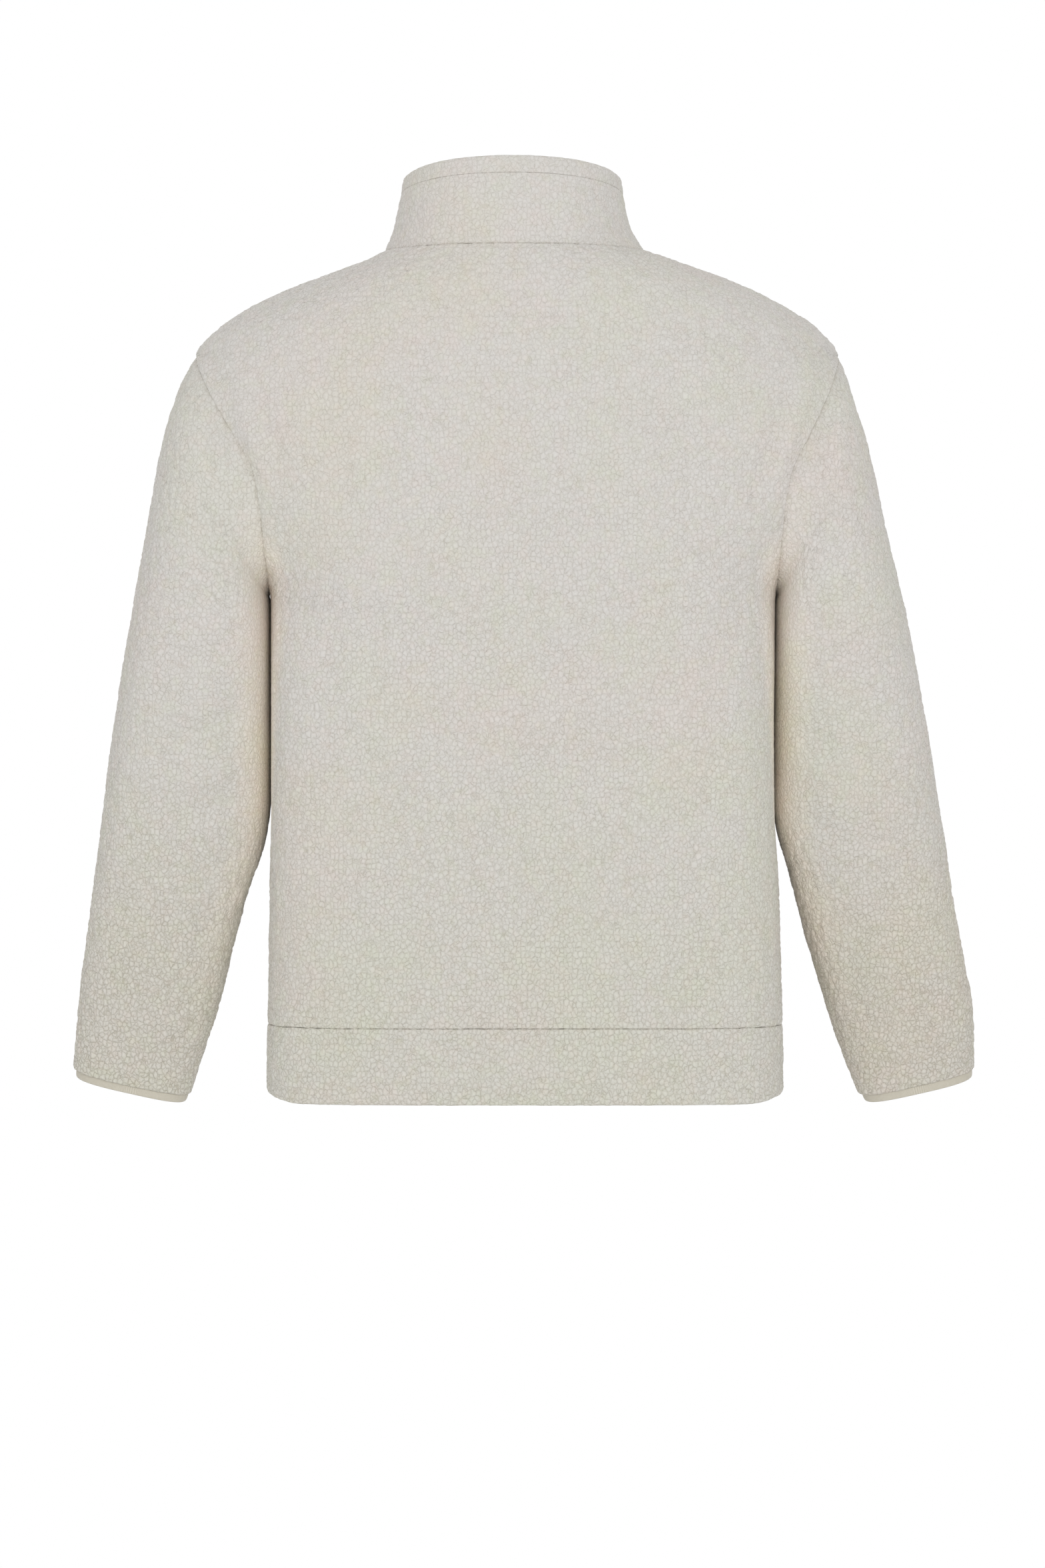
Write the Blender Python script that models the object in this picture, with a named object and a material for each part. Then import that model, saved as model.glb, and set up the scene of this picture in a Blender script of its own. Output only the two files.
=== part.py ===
"""A pile fleece pullover with a stand collar, filled out as it sits on a body, with nobody in it.

Metres, +Z up. The origin is the middle of the neck opening, level with the neck seam at the
shoulders. -Y is the back of the garment and +X the wearer's right side. Every piece is a cloth
wall: an outer surface worked out from the tables below, and an inner one WALL further in. Where
two pieces are sewn together, both are worked out from the same seam and each stops half of
SEAM_GAP short of it.
"""

import math
from collections import namedtuple

import bmesh
import bpy
import numpy as np

# Driving sizes
WALL = 0.003  # fleece with its pile pressed flat
SEAM_GAP = 0.0004  # between two pieces that are sewn together
HEM_BOTTOM = -0.7110
HEM_SEAM = -0.6476
ARMPIT = -0.2850
SHOULDER_TIP = -0.0880
ARMHOLE_BACK, ARMHOLE_FRONT = 0.086, 0.083  # how deep the armhole reaches behind and before the arm
ARMHOLE_POWER = 0.9
NECK_BACK_RISE, NECK_BLEND = 0.003, 0.05  # fades out this far below the neck
FRONT_DROP_POWER, BACK_RISE_POWER, BOW_POWER = 1.6, 1.2, 3.0
CORNER_RISE, CORNER_START = 0.006, 0.86  # the hem's lower edge rises at the sides of the body
BINDING_INSET, BINDING_HEIGHT, BINDING_WALL = 0.0012, 0.0075, 0.0022
BINDING_ROLL, BINDING_LIP = 0.0008, 0.0006  # how far its lower edge turns in, outside and inside
SLEEVE_CLEAR = 0.0011  # between a hanging sleeve and the side of the body
EASINGS = 4  # rounds that smooth the direction of a wall's thickness
SHARP_ANGLE = 50  # degrees between faces, past which an edge is shaded sharp
FOLD_ENDS = 0.55  # a fold's depth at its ends, as a share of its depth halfway

# How finely the pieces are divided
HALF_COLUMNS, COLUMN_BIAS = 22, 0.35  # columns from seam to seam, closer together near the seams
HEM_RINGS, BODY_RINGS, ARMHOLE_RINGS, SHOULDER_RINGS = 1, 10, 11, 7
SLEEVE_COLUMNS, SLEEVE_RINGS = 2 * ARMHOLE_RINGS, 20  # so that both sides of the armhole agree
COLLAR_COLUMNS, COLLAR_RINGS = 44, 4
ARC_SAMPLES, PATH_SAMPLES, STATION_SAMPLES = 801, 401, 12  # for measuring along curves
TINY = 1e-6  # metres; points nearer than this are one

# Rings of the trunk, from hem to neck. half_width runs to the side seam, the armhole seam or the
# shoulder seam; front_drop is how much lower a ring lies at the middle of the front, and bow how
# much higher it lies away from the seams, so that the rings fan out from the armhole.
TrunkRow = namedtuple("TrunkRow", "z centre half_width back front power front_drop bow")
TRUNK = (
    TrunkRow(-0.7110, 0.0022, 0.2150, 0.102, 0.108, 4.6, 0.000, 0.000),
    TrunkRow(-0.6476, 0.0022, 0.2145, 0.103, 0.110, 4.6, 0.000, 0.000),
    TrunkRow(-0.5600, 0.0015, 0.2125, 0.104, 0.113, 4.6, 0.000, 0.000),
    TrunkRow(-0.4700, 0.0002, 0.2108, 0.106, 0.116, 4.5, 0.000, 0.000),
    TrunkRow(-0.3800, 0.0000, 0.2108, 0.110, 0.119, 4.2, 0.000, -0.010),
    TrunkRow(-0.2850, 0.0000, 0.2120, 0.114, 0.122, 3.5, 0.000, -0.022),
    TrunkRow(-0.2520, 0.0000, 0.2145, 0.115, 0.123, 3.2, 0.000, -0.016),
    TrunkRow(-0.2190, 0.0000, 0.2175, 0.116, 0.123, 2.95, 0.002, -0.008),
    TrunkRow(-0.1860, 0.0000, 0.2235, 0.116, 0.121, 2.75, 0.005, 0.000),
    TrunkRow(-0.1590, -0.0005, 0.2370, 0.1155, 0.1185, 2.6, 0.010, 0.006),
    TrunkRow(-0.1410, -0.0015, 0.2470, 0.1145, 0.1155, 2.5, 0.014, 0.010),
    TrunkRow(-0.1060, -0.0035, 0.2640, 0.112, 0.110, 2.35, 0.025, 0.018),
    TrunkRow(-0.0880, -0.0045, 0.2690, 0.110, 0.107, 2.3, 0.031, 0.021),
    TrunkRow(-0.0675, -0.0035, 0.2540, 0.107, 0.103, 2.25, 0.038, 0.017),
    TrunkRow(-0.0450, -0.0025, 0.2200, 0.103, 0.098, 2.2, 0.045, 0.011),
    TrunkRow(-0.0225, -0.0010, 0.1685, 0.097, 0.090, 2.15, 0.051, 0.005),
    TrunkRow(-0.0113, -0.0015, 0.1375, 0.092, 0.084, 2.1, 0.0535, 0.002),
    TrunkRow(0.0000, -0.0065, 0.1085, 0.085, 0.077, 2.1, 0.055, 0.000),
)

# Rings round a sleeve below the armhole, from the outer line to the inner line. Distances from
# the middle of the body; the two sleeves hang a little differently. inner_power is the power of
# the half that hangs against the body, where the sleeve is pressed flatter.
SleeveRow = namedtuple(
    "SleeveRow",
    "station left_outer right_outer outer_z left_inner right_inner inner_z half_depth forward"
    " inner_power",
)
SLEEVE = (
    SleeveRow(0, 0.2905, 0.2765, -0.124, 0.2140, 0.2140, -0.2895, 0.0855, 0.0000, 2.25),
    SleeveRow(1, 0.3030, 0.2900, -0.169, 0.2120, 0.2120, -0.2960, 0.0870, 0.0005, 2.25),
    SleeveRow(2, 0.3150, 0.3045, -0.236, 0.2120, 0.2120, -0.3120, 0.0860, 0.0015, 2.30),
    SleeveRow(3, 0.3260, 0.3185, -0.293, 0.2120, 0.2120, -0.3380, 0.0810, 0.0030, 2.30),
    SleeveRow(4, 0.3360, 0.3310, -0.355, 0.2120, 0.2120, -0.3800, 0.0735, 0.0050, 2.30),
    SleeveRow(5, 0.3450, 0.3420, -0.415, 0.2120, 0.2120, -0.4280, 0.0655, 0.0075, 2.30),
    SleeveRow(6, 0.3540, 0.3515, -0.475, 0.2150, 0.2135, -0.4800, 0.0580, 0.0105, 2.30),
    SleeveRow(7, 0.3615, 0.3605, -0.530, 0.2312, 0.2298, -0.5320, 0.0510, 0.0150, 2.30),
    SleeveRow(8, 0.3690, 0.3700, -0.585, 0.2461, 0.2438, -0.5850, 0.0440, 0.0215, 2.30),
    SleeveRow(9, 0.3755, 0.3800, -0.640, 0.2625, 0.2620, -0.6460, 0.0370, 0.0295, 2.30),
    SleeveRow(10, 0.3800, 0.3830, -0.688, 0.2820, 0.2865, -0.7095, 0.0300, 0.0370, 2.30),
)
OUTER_POWER = 3.0

# Rings of the collar, upwards. The three heights are at the middle of the back, over the
# shoulders and at the middle of the front.
CollarRow = namedtuple(
    "CollarRow", "share centre half_width back front back_z side_z front_z power"
)
COLLAR = (
    CollarRow(0.00, -0.0065, 0.1085, 0.0850, 0.0770, 0.0030, 0.0000, -0.0550, 2.1),
    CollarRow(0.30, -0.0086, 0.0990, 0.0845, 0.0795, 0.0235, 0.0185, -0.0290, 2.15),
    CollarRow(0.60, -0.0090, 0.0945, 0.0840, 0.0810, 0.0430, 0.0355, -0.0030, 2.2),
    CollarRow(0.83, -0.0088, 0.0925, 0.0832, 0.0815, 0.0620, 0.0480, 0.0165, 2.2),
    CollarRow(1.00, -0.0086, 0.0905, 0.0820, 0.0810, 0.0765, 0.0615, 0.0310, 2.2),
)
BAND_SHARE = 0.83  # where the collar's top band is sewn on

# The largest soft folds, from a start to an end as seen from behind. A depth under nought is a
# trough. Distances across are from the middle of the body, on the side that is named.
Fold = namedtuple("Fold", "side face start_x start_z end_x end_z depth width")
TRUNK_FOLDS = (
    Fold("left", "back", 0.236, -0.112, 0.216, -0.182, 0.0040, 0.009),
    Fold("left", "back", 0.221, -0.120, 0.198, -0.192, -0.0035, 0.010),
    Fold("right", "back", 0.235, -0.118, 0.213, -0.190, 0.0035, 0.009),
    Fold("right", "back", 0.219, -0.126, 0.196, -0.200, -0.0030, 0.010),
    Fold("left", "back", 0.186, -0.240, 0.150, -0.400, -0.0030, 0.022),
    Fold("right", "back", 0.190, -0.250, 0.158, -0.370, -0.0025, 0.020),
    Fold("left", "front", 0.232, -0.125, 0.196, -0.205, -0.0040, 0.011),
    Fold("right", "front", 0.230, -0.130, 0.198, -0.198, -0.0035, 0.011),
    Fold("left", "front", 0.180, -0.250, 0.120, -0.390, -0.0030, 0.022),
    Fold("right", "front", 0.176, -0.262, 0.132, -0.430, -0.0035, 0.020),
)
SLEEVE_FOLDS = (
    Fold("left", "back", 0.252, -0.130, 0.250, -0.178, -0.0050, 0.008),
    Fold("right", "back", 0.250, -0.136, 0.247, -0.186, -0.0045, 0.008),
    Fold("left", "back", 0.232, -0.385, 0.300, -0.420, -0.0035, 0.011),
    Fold("left", "back", 0.236, -0.455, 0.290, -0.470, -0.0025, 0.012),
    Fold("right", "back", 0.232, -0.405, 0.292, -0.432, -0.0030, 0.011),
    Fold("right", "back", 0.240, -0.480, 0.310, -0.500, -0.0022, 0.012),
    Fold("left", "front", 0.236, -0.400, 0.318, -0.440, -0.0050, 0.012),
    Fold("left", "front", 0.240, -0.440, 0.305, -0.462, -0.0035, 0.010),
    Fold("right", "front", 0.234, -0.392, 0.312, -0.425, -0.0045, 0.012),
    Fold("right", "front", 0.238, -0.436, 0.322, -0.470, -0.0040, 0.010),
    Fold("left", "front", 0.250, -0.140, 0.248, -0.190, -0.0040, 0.010),
    Fold("right", "front", 0.248, -0.145, 0.246, -0.195, -0.0040, 0.010),
)

Finish = namedtuple("Finish", "name colour roughness")
FLEECE = Finish("pile_fleece", (0.62, 0.60, 0.55), 0.95)
KNIT = Finish("binding_knit", (0.50, 0.46, 0.38), 0.85)


def through(rows, key, value, at):
    """A smooth curve through one column of a table, with no overshoot between its rows."""
    x = np.array([getattr(row, key) for row in rows], float)
    y = np.array([getattr(row, value) for row in rows], float)
    if x[0] > x[-1]:
        x, y = x[::-1], y[::-1]
    rise = np.diff(y) / np.diff(x)
    slope = np.concatenate([rise[:1], np.zeros(len(x) - 2), rise[-1:]])
    for k in range(1, len(x) - 1):
        if rise[k - 1] * rise[k] > 0:
            slope[k] = 2 * rise[k - 1] * rise[k] / (rise[k - 1] + rise[k])
    at = np.clip(np.asarray(at, float), x[0], x[-1])
    k = np.clip(np.searchsorted(x, at) - 1, 0, len(x) - 2)
    width = x[k + 1] - x[k]
    t = (at - x[k]) / width
    return (
        y[k] * (1 + 2 * t) * (1 - t) ** 2
        + slope[k] * width * t * (1 - t) ** 2
        + y[k + 1] * t * t * (3 - 2 * t)
        + slope[k + 1] * width * t * t * (t - 1)
    )


def spread(columns, bias):
    """Shares from 0 to 1, closer together near both ends."""
    t = np.linspace(0, 1, columns + 1)
    return t - bias * np.sin(2 * math.pi * t) / (2 * math.pi)


def armhole_reach(z, face):
    """How far behind or before the arm the armhole seam lies at some heights."""
    down = np.clip((SHOULDER_TIP - np.asarray(z, float)) / (SHOULDER_TIP - ARMPIT), 0, 1)
    reach = ARMHOLE_BACK if face == "back" else ARMHOLE_FRONT
    return reach * np.sin(np.arccos(1 - 2 * down)) ** ARMHOLE_POWER


def trunk_sizes(z, face):
    """Centre, width to the trunk's edge, full width, depth and power of the level sections."""
    centre, half, deep, power = (
        through(TRUNK, "z", key, z) for key in ("centre", "half_width", face, "power")
    )
    edge = armhole_reach(z, face)
    return centre, half, half / (1 - (edge / deep) ** power) ** (1 / power), deep, power


def trunk_ring(z, face, shares):
    """Points of one ring of the trunk on one face, from the left seam to the right one."""
    _, half, full, deep, power = (float(size) for size in trunk_sizes(z, face))
    last = math.asin(min(half / full, 1.0))
    across = np.sin(np.linspace(-last, last, ARC_SAMPLES))
    depth = np.clip(1 - np.abs(across) ** power, 0, 1) ** (1 / power)
    steps = np.hypot(np.diff(across * full), np.diff(depth * deep))
    along = np.concatenate([[0], np.cumsum(steps)])
    across = np.interp(shares * along[-1], along, across)
    away = 1 - np.abs(2 * shares - 1) ** BOW_POWER
    height = z + float(through(TRUNK, "z", "bow", z)) * away
    centre, half, full, deep, power = trunk_sizes(height, face)
    out = np.clip(1 - np.abs(across) ** power, 0, 1) ** (1 / power)
    if face == "back":
        lift = NECK_BACK_RISE * out * np.clip(1 + height / NECK_BLEND, 0, 1)
    else:
        lift = -through(TRUNK, "z", "front_drop", height) * out**FRONT_DROP_POWER
    corner = np.clip((np.abs(across) - CORNER_START) / (1 - CORNER_START), 0, 1) ** 2
    lift = lift + CORNER_RISE * corner * np.clip((HEM_SEAM - z) / (HEM_SEAM - HEM_BOTTOM), 0, 1) ** 2
    sign = -1 if face == "back" else 1
    return np.stack([centre + full * across, sign * deep * out, height + lift], axis=1)


def trunk_heights():
    """Heights of the trunk's rings from the hem seam up, even along the cloth."""
    body = np.linspace(HEM_SEAM, ARMPIT, BODY_RINGS + 1)
    turn = np.linspace(math.pi, 0, ARMHOLE_RINGS + 1)
    armhole = SHOULDER_TIP + (ARMPIT - SHOULDER_TIP) * (1 - np.cos(turn)) / 2
    fine = np.linspace(SHOULDER_TIP, 0, PATH_SAMPLES)
    width = through(TRUNK, "z", "half_width", fine)
    along = np.concatenate([[0], np.cumsum(np.hypot(np.diff(fine), np.diff(width)))])
    shoulder = np.interp(np.linspace(0, along[-1], SHOULDER_RINGS + 1), along, fine)
    return np.concatenate([body, armhole[1:], shoulder[1:]])


def panel_grid(face, heights):
    shares = spread(HALF_COLUMNS, COLUMN_BIAS)
    return np.array([trunk_ring(z, face, shares) for z in heights])


def armhole_loop(side):
    """The armhole seam as a loop of SLEEVE_COLUMNS points: down the back, then up the front."""
    sign = -1 if side == "left" else 1
    points = []
    for k in range(SLEEVE_COLUMNS):
        turn = 2 * math.pi * k / SLEEVE_COLUMNS
        face = "back" if turn <= math.pi else "front"
        z = SHOULDER_TIP + (ARMPIT - SHOULDER_TIP) * (1 - math.cos(turn)) / 2
        ring = trunk_ring(z, face, np.array([0.0, 1.0]))
        points.append(ring[0 if sign < 0 else 1])
    return np.array(points)


def body_edge(side, z):
    """How far the side of the trunk lies from the middle of the body at a height."""
    sign = -1 if side == "left" else 1
    centre, half = (float(through(TRUNK, "z", key, z)) for key in ("centre", "half_width"))
    return half + sign * centre


def sleeve_ring(side, station):
    """One ring of a sleeve at a station counted in rows of its table."""
    value = {key: float(through(SLEEVE, "station", key, station)) for key in SleeveRow._fields}
    nearby = np.array([station - 0.5, station + 0.5])
    ahead = np.diff(through(SLEEVE, "station", "forward", nearby))[0]
    lower = -np.diff(through(SLEEVE, "station", "outer_z", nearby))[0]
    tilt = ahead / max(lower, TINY)
    sign = -1 if side == "left" else 1
    inner_x = max(value[side + "_inner"], body_edge(side, value["inner_z"]) + SLEEVE_CLEAR)
    outer = np.array([sign * value[side + "_outer"], 0, value["outer_z"]])
    inner = np.array([sign * inner_x, 0, value["inner_z"]])
    turn = 2 * math.pi * np.arange(SLEEVE_COLUMNS) / SLEEVE_COLUMNS
    cosine, sine = np.cos(turn), np.sin(turn)
    power = np.where(cosine < 0, value["inner_power"], OUTER_POWER)
    across = np.sign(cosine) * np.abs(cosine) ** (2 / power)
    deep = np.sign(sine) * np.abs(sine) ** (2 / power)
    ring = (outer + inner) / 2 + np.outer(across, (outer - inner) / 2)
    ring[:, 1] += value["forward"] - value["half_depth"] * deep
    ring[:, 2] -= tilt * value["half_depth"] * deep
    return ring


def sleeve_grid(side):
    """Rings of a sleeve from the armhole seam to the cuff, even along the arm."""
    stations = np.linspace(0, len(SLEEVE) - 1, STATION_SAMPLES * len(SLEEVE))
    rings = np.array([armhole_loop(side)] + [sleeve_ring(side, s) for s in stations])
    steps = np.linalg.norm(np.diff(rings[:, 0], axis=0), axis=1)
    along = np.concatenate([[0], np.cumsum(steps)])
    grid = []
    for place in np.linspace(0, along[-1], SLEEVE_RINGS + 1):
        k = int(np.clip(np.searchsorted(along, place) - 1, 0, len(along) - 2))
        t = (place - along[k]) / (along[k + 1] - along[k])
        grid.append(rings[k] * (1 - t) + rings[k + 1] * t)
    return np.array(grid)


def collar_ring(share):
    """One ring of the collar, starting at the middle of the back and going left."""
    value = {key: float(through(COLLAR, "share", key, share)) for key in CollarRow._fields}
    turn = 2 * math.pi * np.arange(COLLAR_COLUMNS) / COLLAR_COLUMNS
    power = 2 / value["power"]
    across = -np.sign(np.sin(turn)) * np.abs(np.sin(turn)) ** power
    back = np.clip(np.cos(turn), 0, 1) ** power
    front = np.clip(-np.cos(turn), 0, 1) ** power
    x = value["centre"] + value["half_width"] * across
    y = value["front"] * front - value["back"] * back
    z = (
        value["side_z"]
        + (value["back_z"] - value["side_z"]) * back**BACK_RISE_POWER
        + (value["front_z"] - value["side_z"]) * front**FRONT_DROP_POWER
    )
    return np.stack([x, y, z], axis=1)


def fold_shift(points, in_front, folds, side=None):
    """How far the folds, or only those of one side, move each point out of the surface."""
    shift = np.zeros(points.shape[:-1])
    for fold in folds:
        if side not in (None, fold.side):
            continue
        sign = -1 if fold.side == "left" else 1
        start = np.array([sign * fold.start_x, fold.start_z])
        run = np.array([sign * fold.end_x, fold.end_z]) - start
        flat = points[..., [0, 2]] - start
        share = np.clip(flat @ run / (run @ run), 0, 1)
        away = np.linalg.norm(flat - share[..., None] * run, axis=-1)
        soft = FOLD_ENDS + (1 - FOLD_ENDS) * np.sin(math.pi * share)
        reached = fold.depth * soft * np.exp(-((away / fold.width) ** 2))
        shift += np.where(in_front == (fold.face == "front"), reached, 0)
    return shift


def grid_normals(grid, closed):
    """Outward directions of a grid whose rings run upwards and whose columns run round."""
    if closed:
        along = np.roll(grid, -1, axis=1) - np.roll(grid, 1, axis=1)
    else:
        along = np.gradient(grid, axis=1)
    up = np.gradient(grid, axis=0)
    normal = np.cross(along, up)
    return normal / np.linalg.norm(normal, axis=-1, keepdims=True)


def facing_out(grid, normals):
    """The same normals, turned to point away from the middle of the piece."""
    away = grid - grid.reshape(-1, 3).mean(axis=0)
    return normals if np.sum(away * normals) > 0 else -normals


def unit(vectors):
    return vectors / np.linalg.norm(vectors, axis=-1, keepdims=True)


def eased(normals, closed):
    """Directions that turn gradually from the seams into the piece, with the seams kept."""
    for _ in range(EASINGS):
        wide = np.concatenate([normals[:, -1:], normals, normals[:, :1]], axis=1) if closed else normals
        mean = wide[1:-1, :-2] + wide[1:-1, 2:] + wide[:-2, 1:-1] + wide[2:, 1:-1] + wide[1:-1, 1:-1]
        normals = normals.copy()
        if closed:
            normals[1:-1] = unit(mean)
        else:
            normals[1:-1, 1:-1] = unit(mean)
    return normals


def seam_step(edge, near, closed):
    """Half a seam's gap, square to the seam and into the piece, for each point of an edge."""
    if closed:
        along = unit(np.roll(edge, -1, axis=0) - np.roll(edge, 1, axis=0))
    else:
        along = unit(np.gradient(edge, axis=0))
    inside = near - edge
    inside -= np.sum(inside * along, axis=1, keepdims=True) * along
    return SEAM_GAP / 2 * unit(inside)


def pulled_back(outer, inner, closed, seams):
    """Both surfaces with the edges named in seams moved half a seam's gap into the piece."""
    edges = {
        "lower": (np.s_[0, :], np.s_[1, :], closed),
        "upper": (np.s_[-1, :], np.s_[-2, :], closed),
        "left": (np.s_[:, 0], np.s_[:, 1], False),
        "right": (np.s_[:, -1], np.s_[:, -2], False),
    }
    moved = np.zeros_like(outer)
    for name in seams:
        edge, near, loop = edges[name]
        moved[edge] += seam_step(outer[edge], outer[near], loop)
    return outer + moved, inner + moved


def split_edges(bm, inside):
    """Splits the faces of a wall's cut edges by one rule, so that two sewn edges stay parallel."""
    for face in [f for f in bm.faces if sum(vert in inside for vert in f.verts) == 2]:
        lower = min((vert for vert in face.verts if vert not in inside), key=lambda vert: vert.co.z)
        upper = max((vert for vert in face.verts if vert in inside), key=lambda vert: vert.co.z)
        if not any(lower in edge.verts and upper in edge.verts for edge in face.edges):
            bmesh.utils.face_split(face, lower, upper)


def cloth_wall(name, outer, inner, closed, finish):
    """A closed cloth wall between two grids of points, as one object."""
    rings, columns = outer.shape[:2]
    bm = bmesh.new()
    bmesh.ops.create_grid(bm, x_segments=columns - 1 + closed, y_segments=rings - 1, size=1)
    inward = bm.verts.layers.float_vector.new("inward")
    bm.verts.ensure_lookup_table()
    wide = columns + closed
    for k, vert in enumerate(bm.verts):
        ring, column = divmod(k, wide)
        vert.co = outer[ring, column % columns]
        vert[inward] = inner[ring, column % columns] - outer[ring, column % columns]
    if closed:
        bmesh.ops.remove_doubles(bm, verts=bm.verts, dist=TINY)
    lining = bmesh.ops.extrude_face_region(bm, geom=bm.faces[:])
    inside = {vert for vert in lining["geom"] if isinstance(vert, bmesh.types.BMVert)}
    for vert in inside:
        vert.co += vert[inward]
    split_edges(bm, inside)
    bm.verts.layers.float_vector.remove(inward)
    bmesh.ops.recalc_face_normals(bm, faces=bm.faces)
    mesh = bpy.data.meshes.new(name)
    bm.to_mesh(mesh)
    bm.free()
    mesh.shade_smooth()
    mesh.set_sharp_from_angle(angle=math.radians(SHARP_ANGLE))
    mesh.materials.append(material(finish))
    piece = bpy.data.objects.new(name, mesh)
    bpy.context.scene.collection.objects.link(piece)
    return piece


def material(finish):
    found = bpy.data.materials.get(finish.name)
    if found:
        return found
    made = bpy.data.materials.new(finish.name)
    made.use_nodes = True
    shader = made.node_tree.nodes["Principled BSDF"]
    shader.inputs["Base Color"].default_value = (*finish.colour, 1)
    shader.inputs["Roughness"].default_value = finish.roughness
    shader.inputs["Metallic"].default_value = 0
    return made


class Trunk:
    """Back and front with their hem bands, worked out together so that their seams agree."""

    def __init__(self):
        upper = trunk_heights()
        hem = np.linspace(HEM_BOTTOM, HEM_SEAM, HEM_RINGS + 1)
        self.seam_ring = HEM_RINGS
        self.heights = np.concatenate([hem[:-1], upper])
        self.outer, self.normal = {}, {}
        for face in ("back", "front"):
            grid = panel_grid(face, self.heights)
            normal = facing_out(grid, grid_normals(grid, closed=False))
            shift = fold_shift(grid, face == "front", TRUNK_FOLDS)
            shift[:, [0, -1]] = 0
            shift[-1] = 0
            self.outer[face] = grid + normal * shift[..., None]
            self.normal[face] = normal
        self.share_seams()

    def share_seams(self):
        """Gives the side and shoulder seams one direction for both faces."""
        seamed = (self.heights < ARMPIT + TINY) | (self.heights > SHOULDER_TIP - TINY)
        for column in (0, -1):
            back, front = self.normal["back"][:, column], self.normal["front"][:, column]
            both = unit(back + front)
            for face in ("back", "front"):
                self.normal[face][seamed, column] = both[seamed]

    def share_armhole(self, side, loop_normals):
        """Gives both sides of the armhole seam their mean direction, and returns it as a loop."""
        column = 0 if side == "left" else -1
        tip = self.seam_ring + BODY_RINGS + ARMHOLE_RINGS
        shared = loop_normals.copy()
        for k in range(SLEEVE_COLUMNS):
            down = min(k, SLEEVE_COLUMNS - k)
            faces = ("back", "front") if down in (0, ARMHOLE_RINGS) else ("back",)
            if k > ARMHOLE_RINGS:
                faces = ("front",)
            panel = sum(self.normal[face][tip - down, column] for face in faces)
            shared[k] = unit(unit(panel) + loop_normals[k])
            for face in faces:
                self.normal[face][tip - down, column] = shared[k]
        return shared

    def build(self):
        for face in ("back", "front"):
            outer = self.outer[face]
            inner = outer - WALL * eased(self.normal[face], closed=False)
            split = self.seam_ring
            for name, part, seams in (
                (f"hem_band_{face}", np.s_[: split + 1], ("upper", "left", "right")),
                (f"{face}_panel", np.s_[split:], ("lower", "upper", "left", "right")),
            ):
                pieces = pulled_back(outer[part], inner[part], False, seams)
                cloth_wall(name, *pieces, closed=False, finish=FLEECE)


def build_sleeve(trunk, side):
    grid = sleeve_grid(side)
    normal = facing_out(grid, grid_normals(grid, closed=True))
    in_front = grid[..., 1] > grid[:, :1, 1]
    shift = fold_shift(grid, in_front, SLEEVE_FOLDS, side)
    shift[0] = 0
    outer = grid + normal * shift[..., None]
    normal[0] = trunk.share_armhole(side, normal[0])
    inner = outer - WALL * eased(normal, closed=True)
    outer, inner = pulled_back(outer, inner, True, ("lower", "upper"))
    cloth_wall(f"sleeve_{side}", outer, inner, closed=True, finish=FLEECE)
    build_binding(side, grid, normal)


def build_binding(side, grid, normal):
    """The knit binding, a narrow ring that carries the cuff on downwards."""
    along = unit(grid[-1] - grid[-2])
    top = grid[-1] - BINDING_INSET * normal[-1] + (SEAM_GAP / 2) * along
    outer = np.array([top, top + BINDING_HEIGHT * 0.5 * along, top + BINDING_HEIGHT * along])
    outer[2] -= BINDING_ROLL * normal[-1]
    inner = outer - BINDING_WALL * normal[-1]
    inner[2] += BINDING_LIP * normal[-1]
    cloth_wall(f"cuff_binding_{side}", outer, inner, closed=True, finish=KNIT)


def build_collar():
    shares = np.concatenate([np.linspace(0, BAND_SHARE, COLLAR_RINGS), [(1 + BAND_SHARE) / 2, 1.0]])
    grid = np.array([collar_ring(share) for share in shares])
    normal = facing_out(grid, grid_normals(grid, closed=True))
    inner = grid - WALL * normal
    seam = COLLAR_RINGS - 1
    lower = pulled_back(grid[: seam + 1], inner[: seam + 1], True, ("lower", "upper"))
    cloth_wall("collar", *lower, closed=True, finish=FLEECE)
    upper = pulled_back(grid[seam:], inner[seam:], True, ("lower",))
    cloth_wall("collar_top_band", *upper, closed=True, finish=FLEECE)


def main():
    for thing in list(bpy.data.objects):
        bpy.data.objects.remove(thing)
    trunk = Trunk()
    for side in ("left", "right"):
        build_sleeve(trunk, side)
    trunk.build()
    build_collar()


main()
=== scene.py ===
"""Looks of a pile fleece pullover, filled out as it sits on a body with nobody in it.

Metres, +Z up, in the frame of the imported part: the origin is the middle of the neck opening, -Y is
the back of the garment and +X the wearer's right side. Each cut and sewn piece is a thin cloth
shell on the form of its solid: a dense outer surface with soft folds, seams that sink between the
pieces and curly pile that stands out of it, and a plainer inner surface of the knit backing.
"""

import logging
import math
from collections.abc import Sequence
from dataclasses import dataclass, field, replace
from enum import Enum

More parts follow.
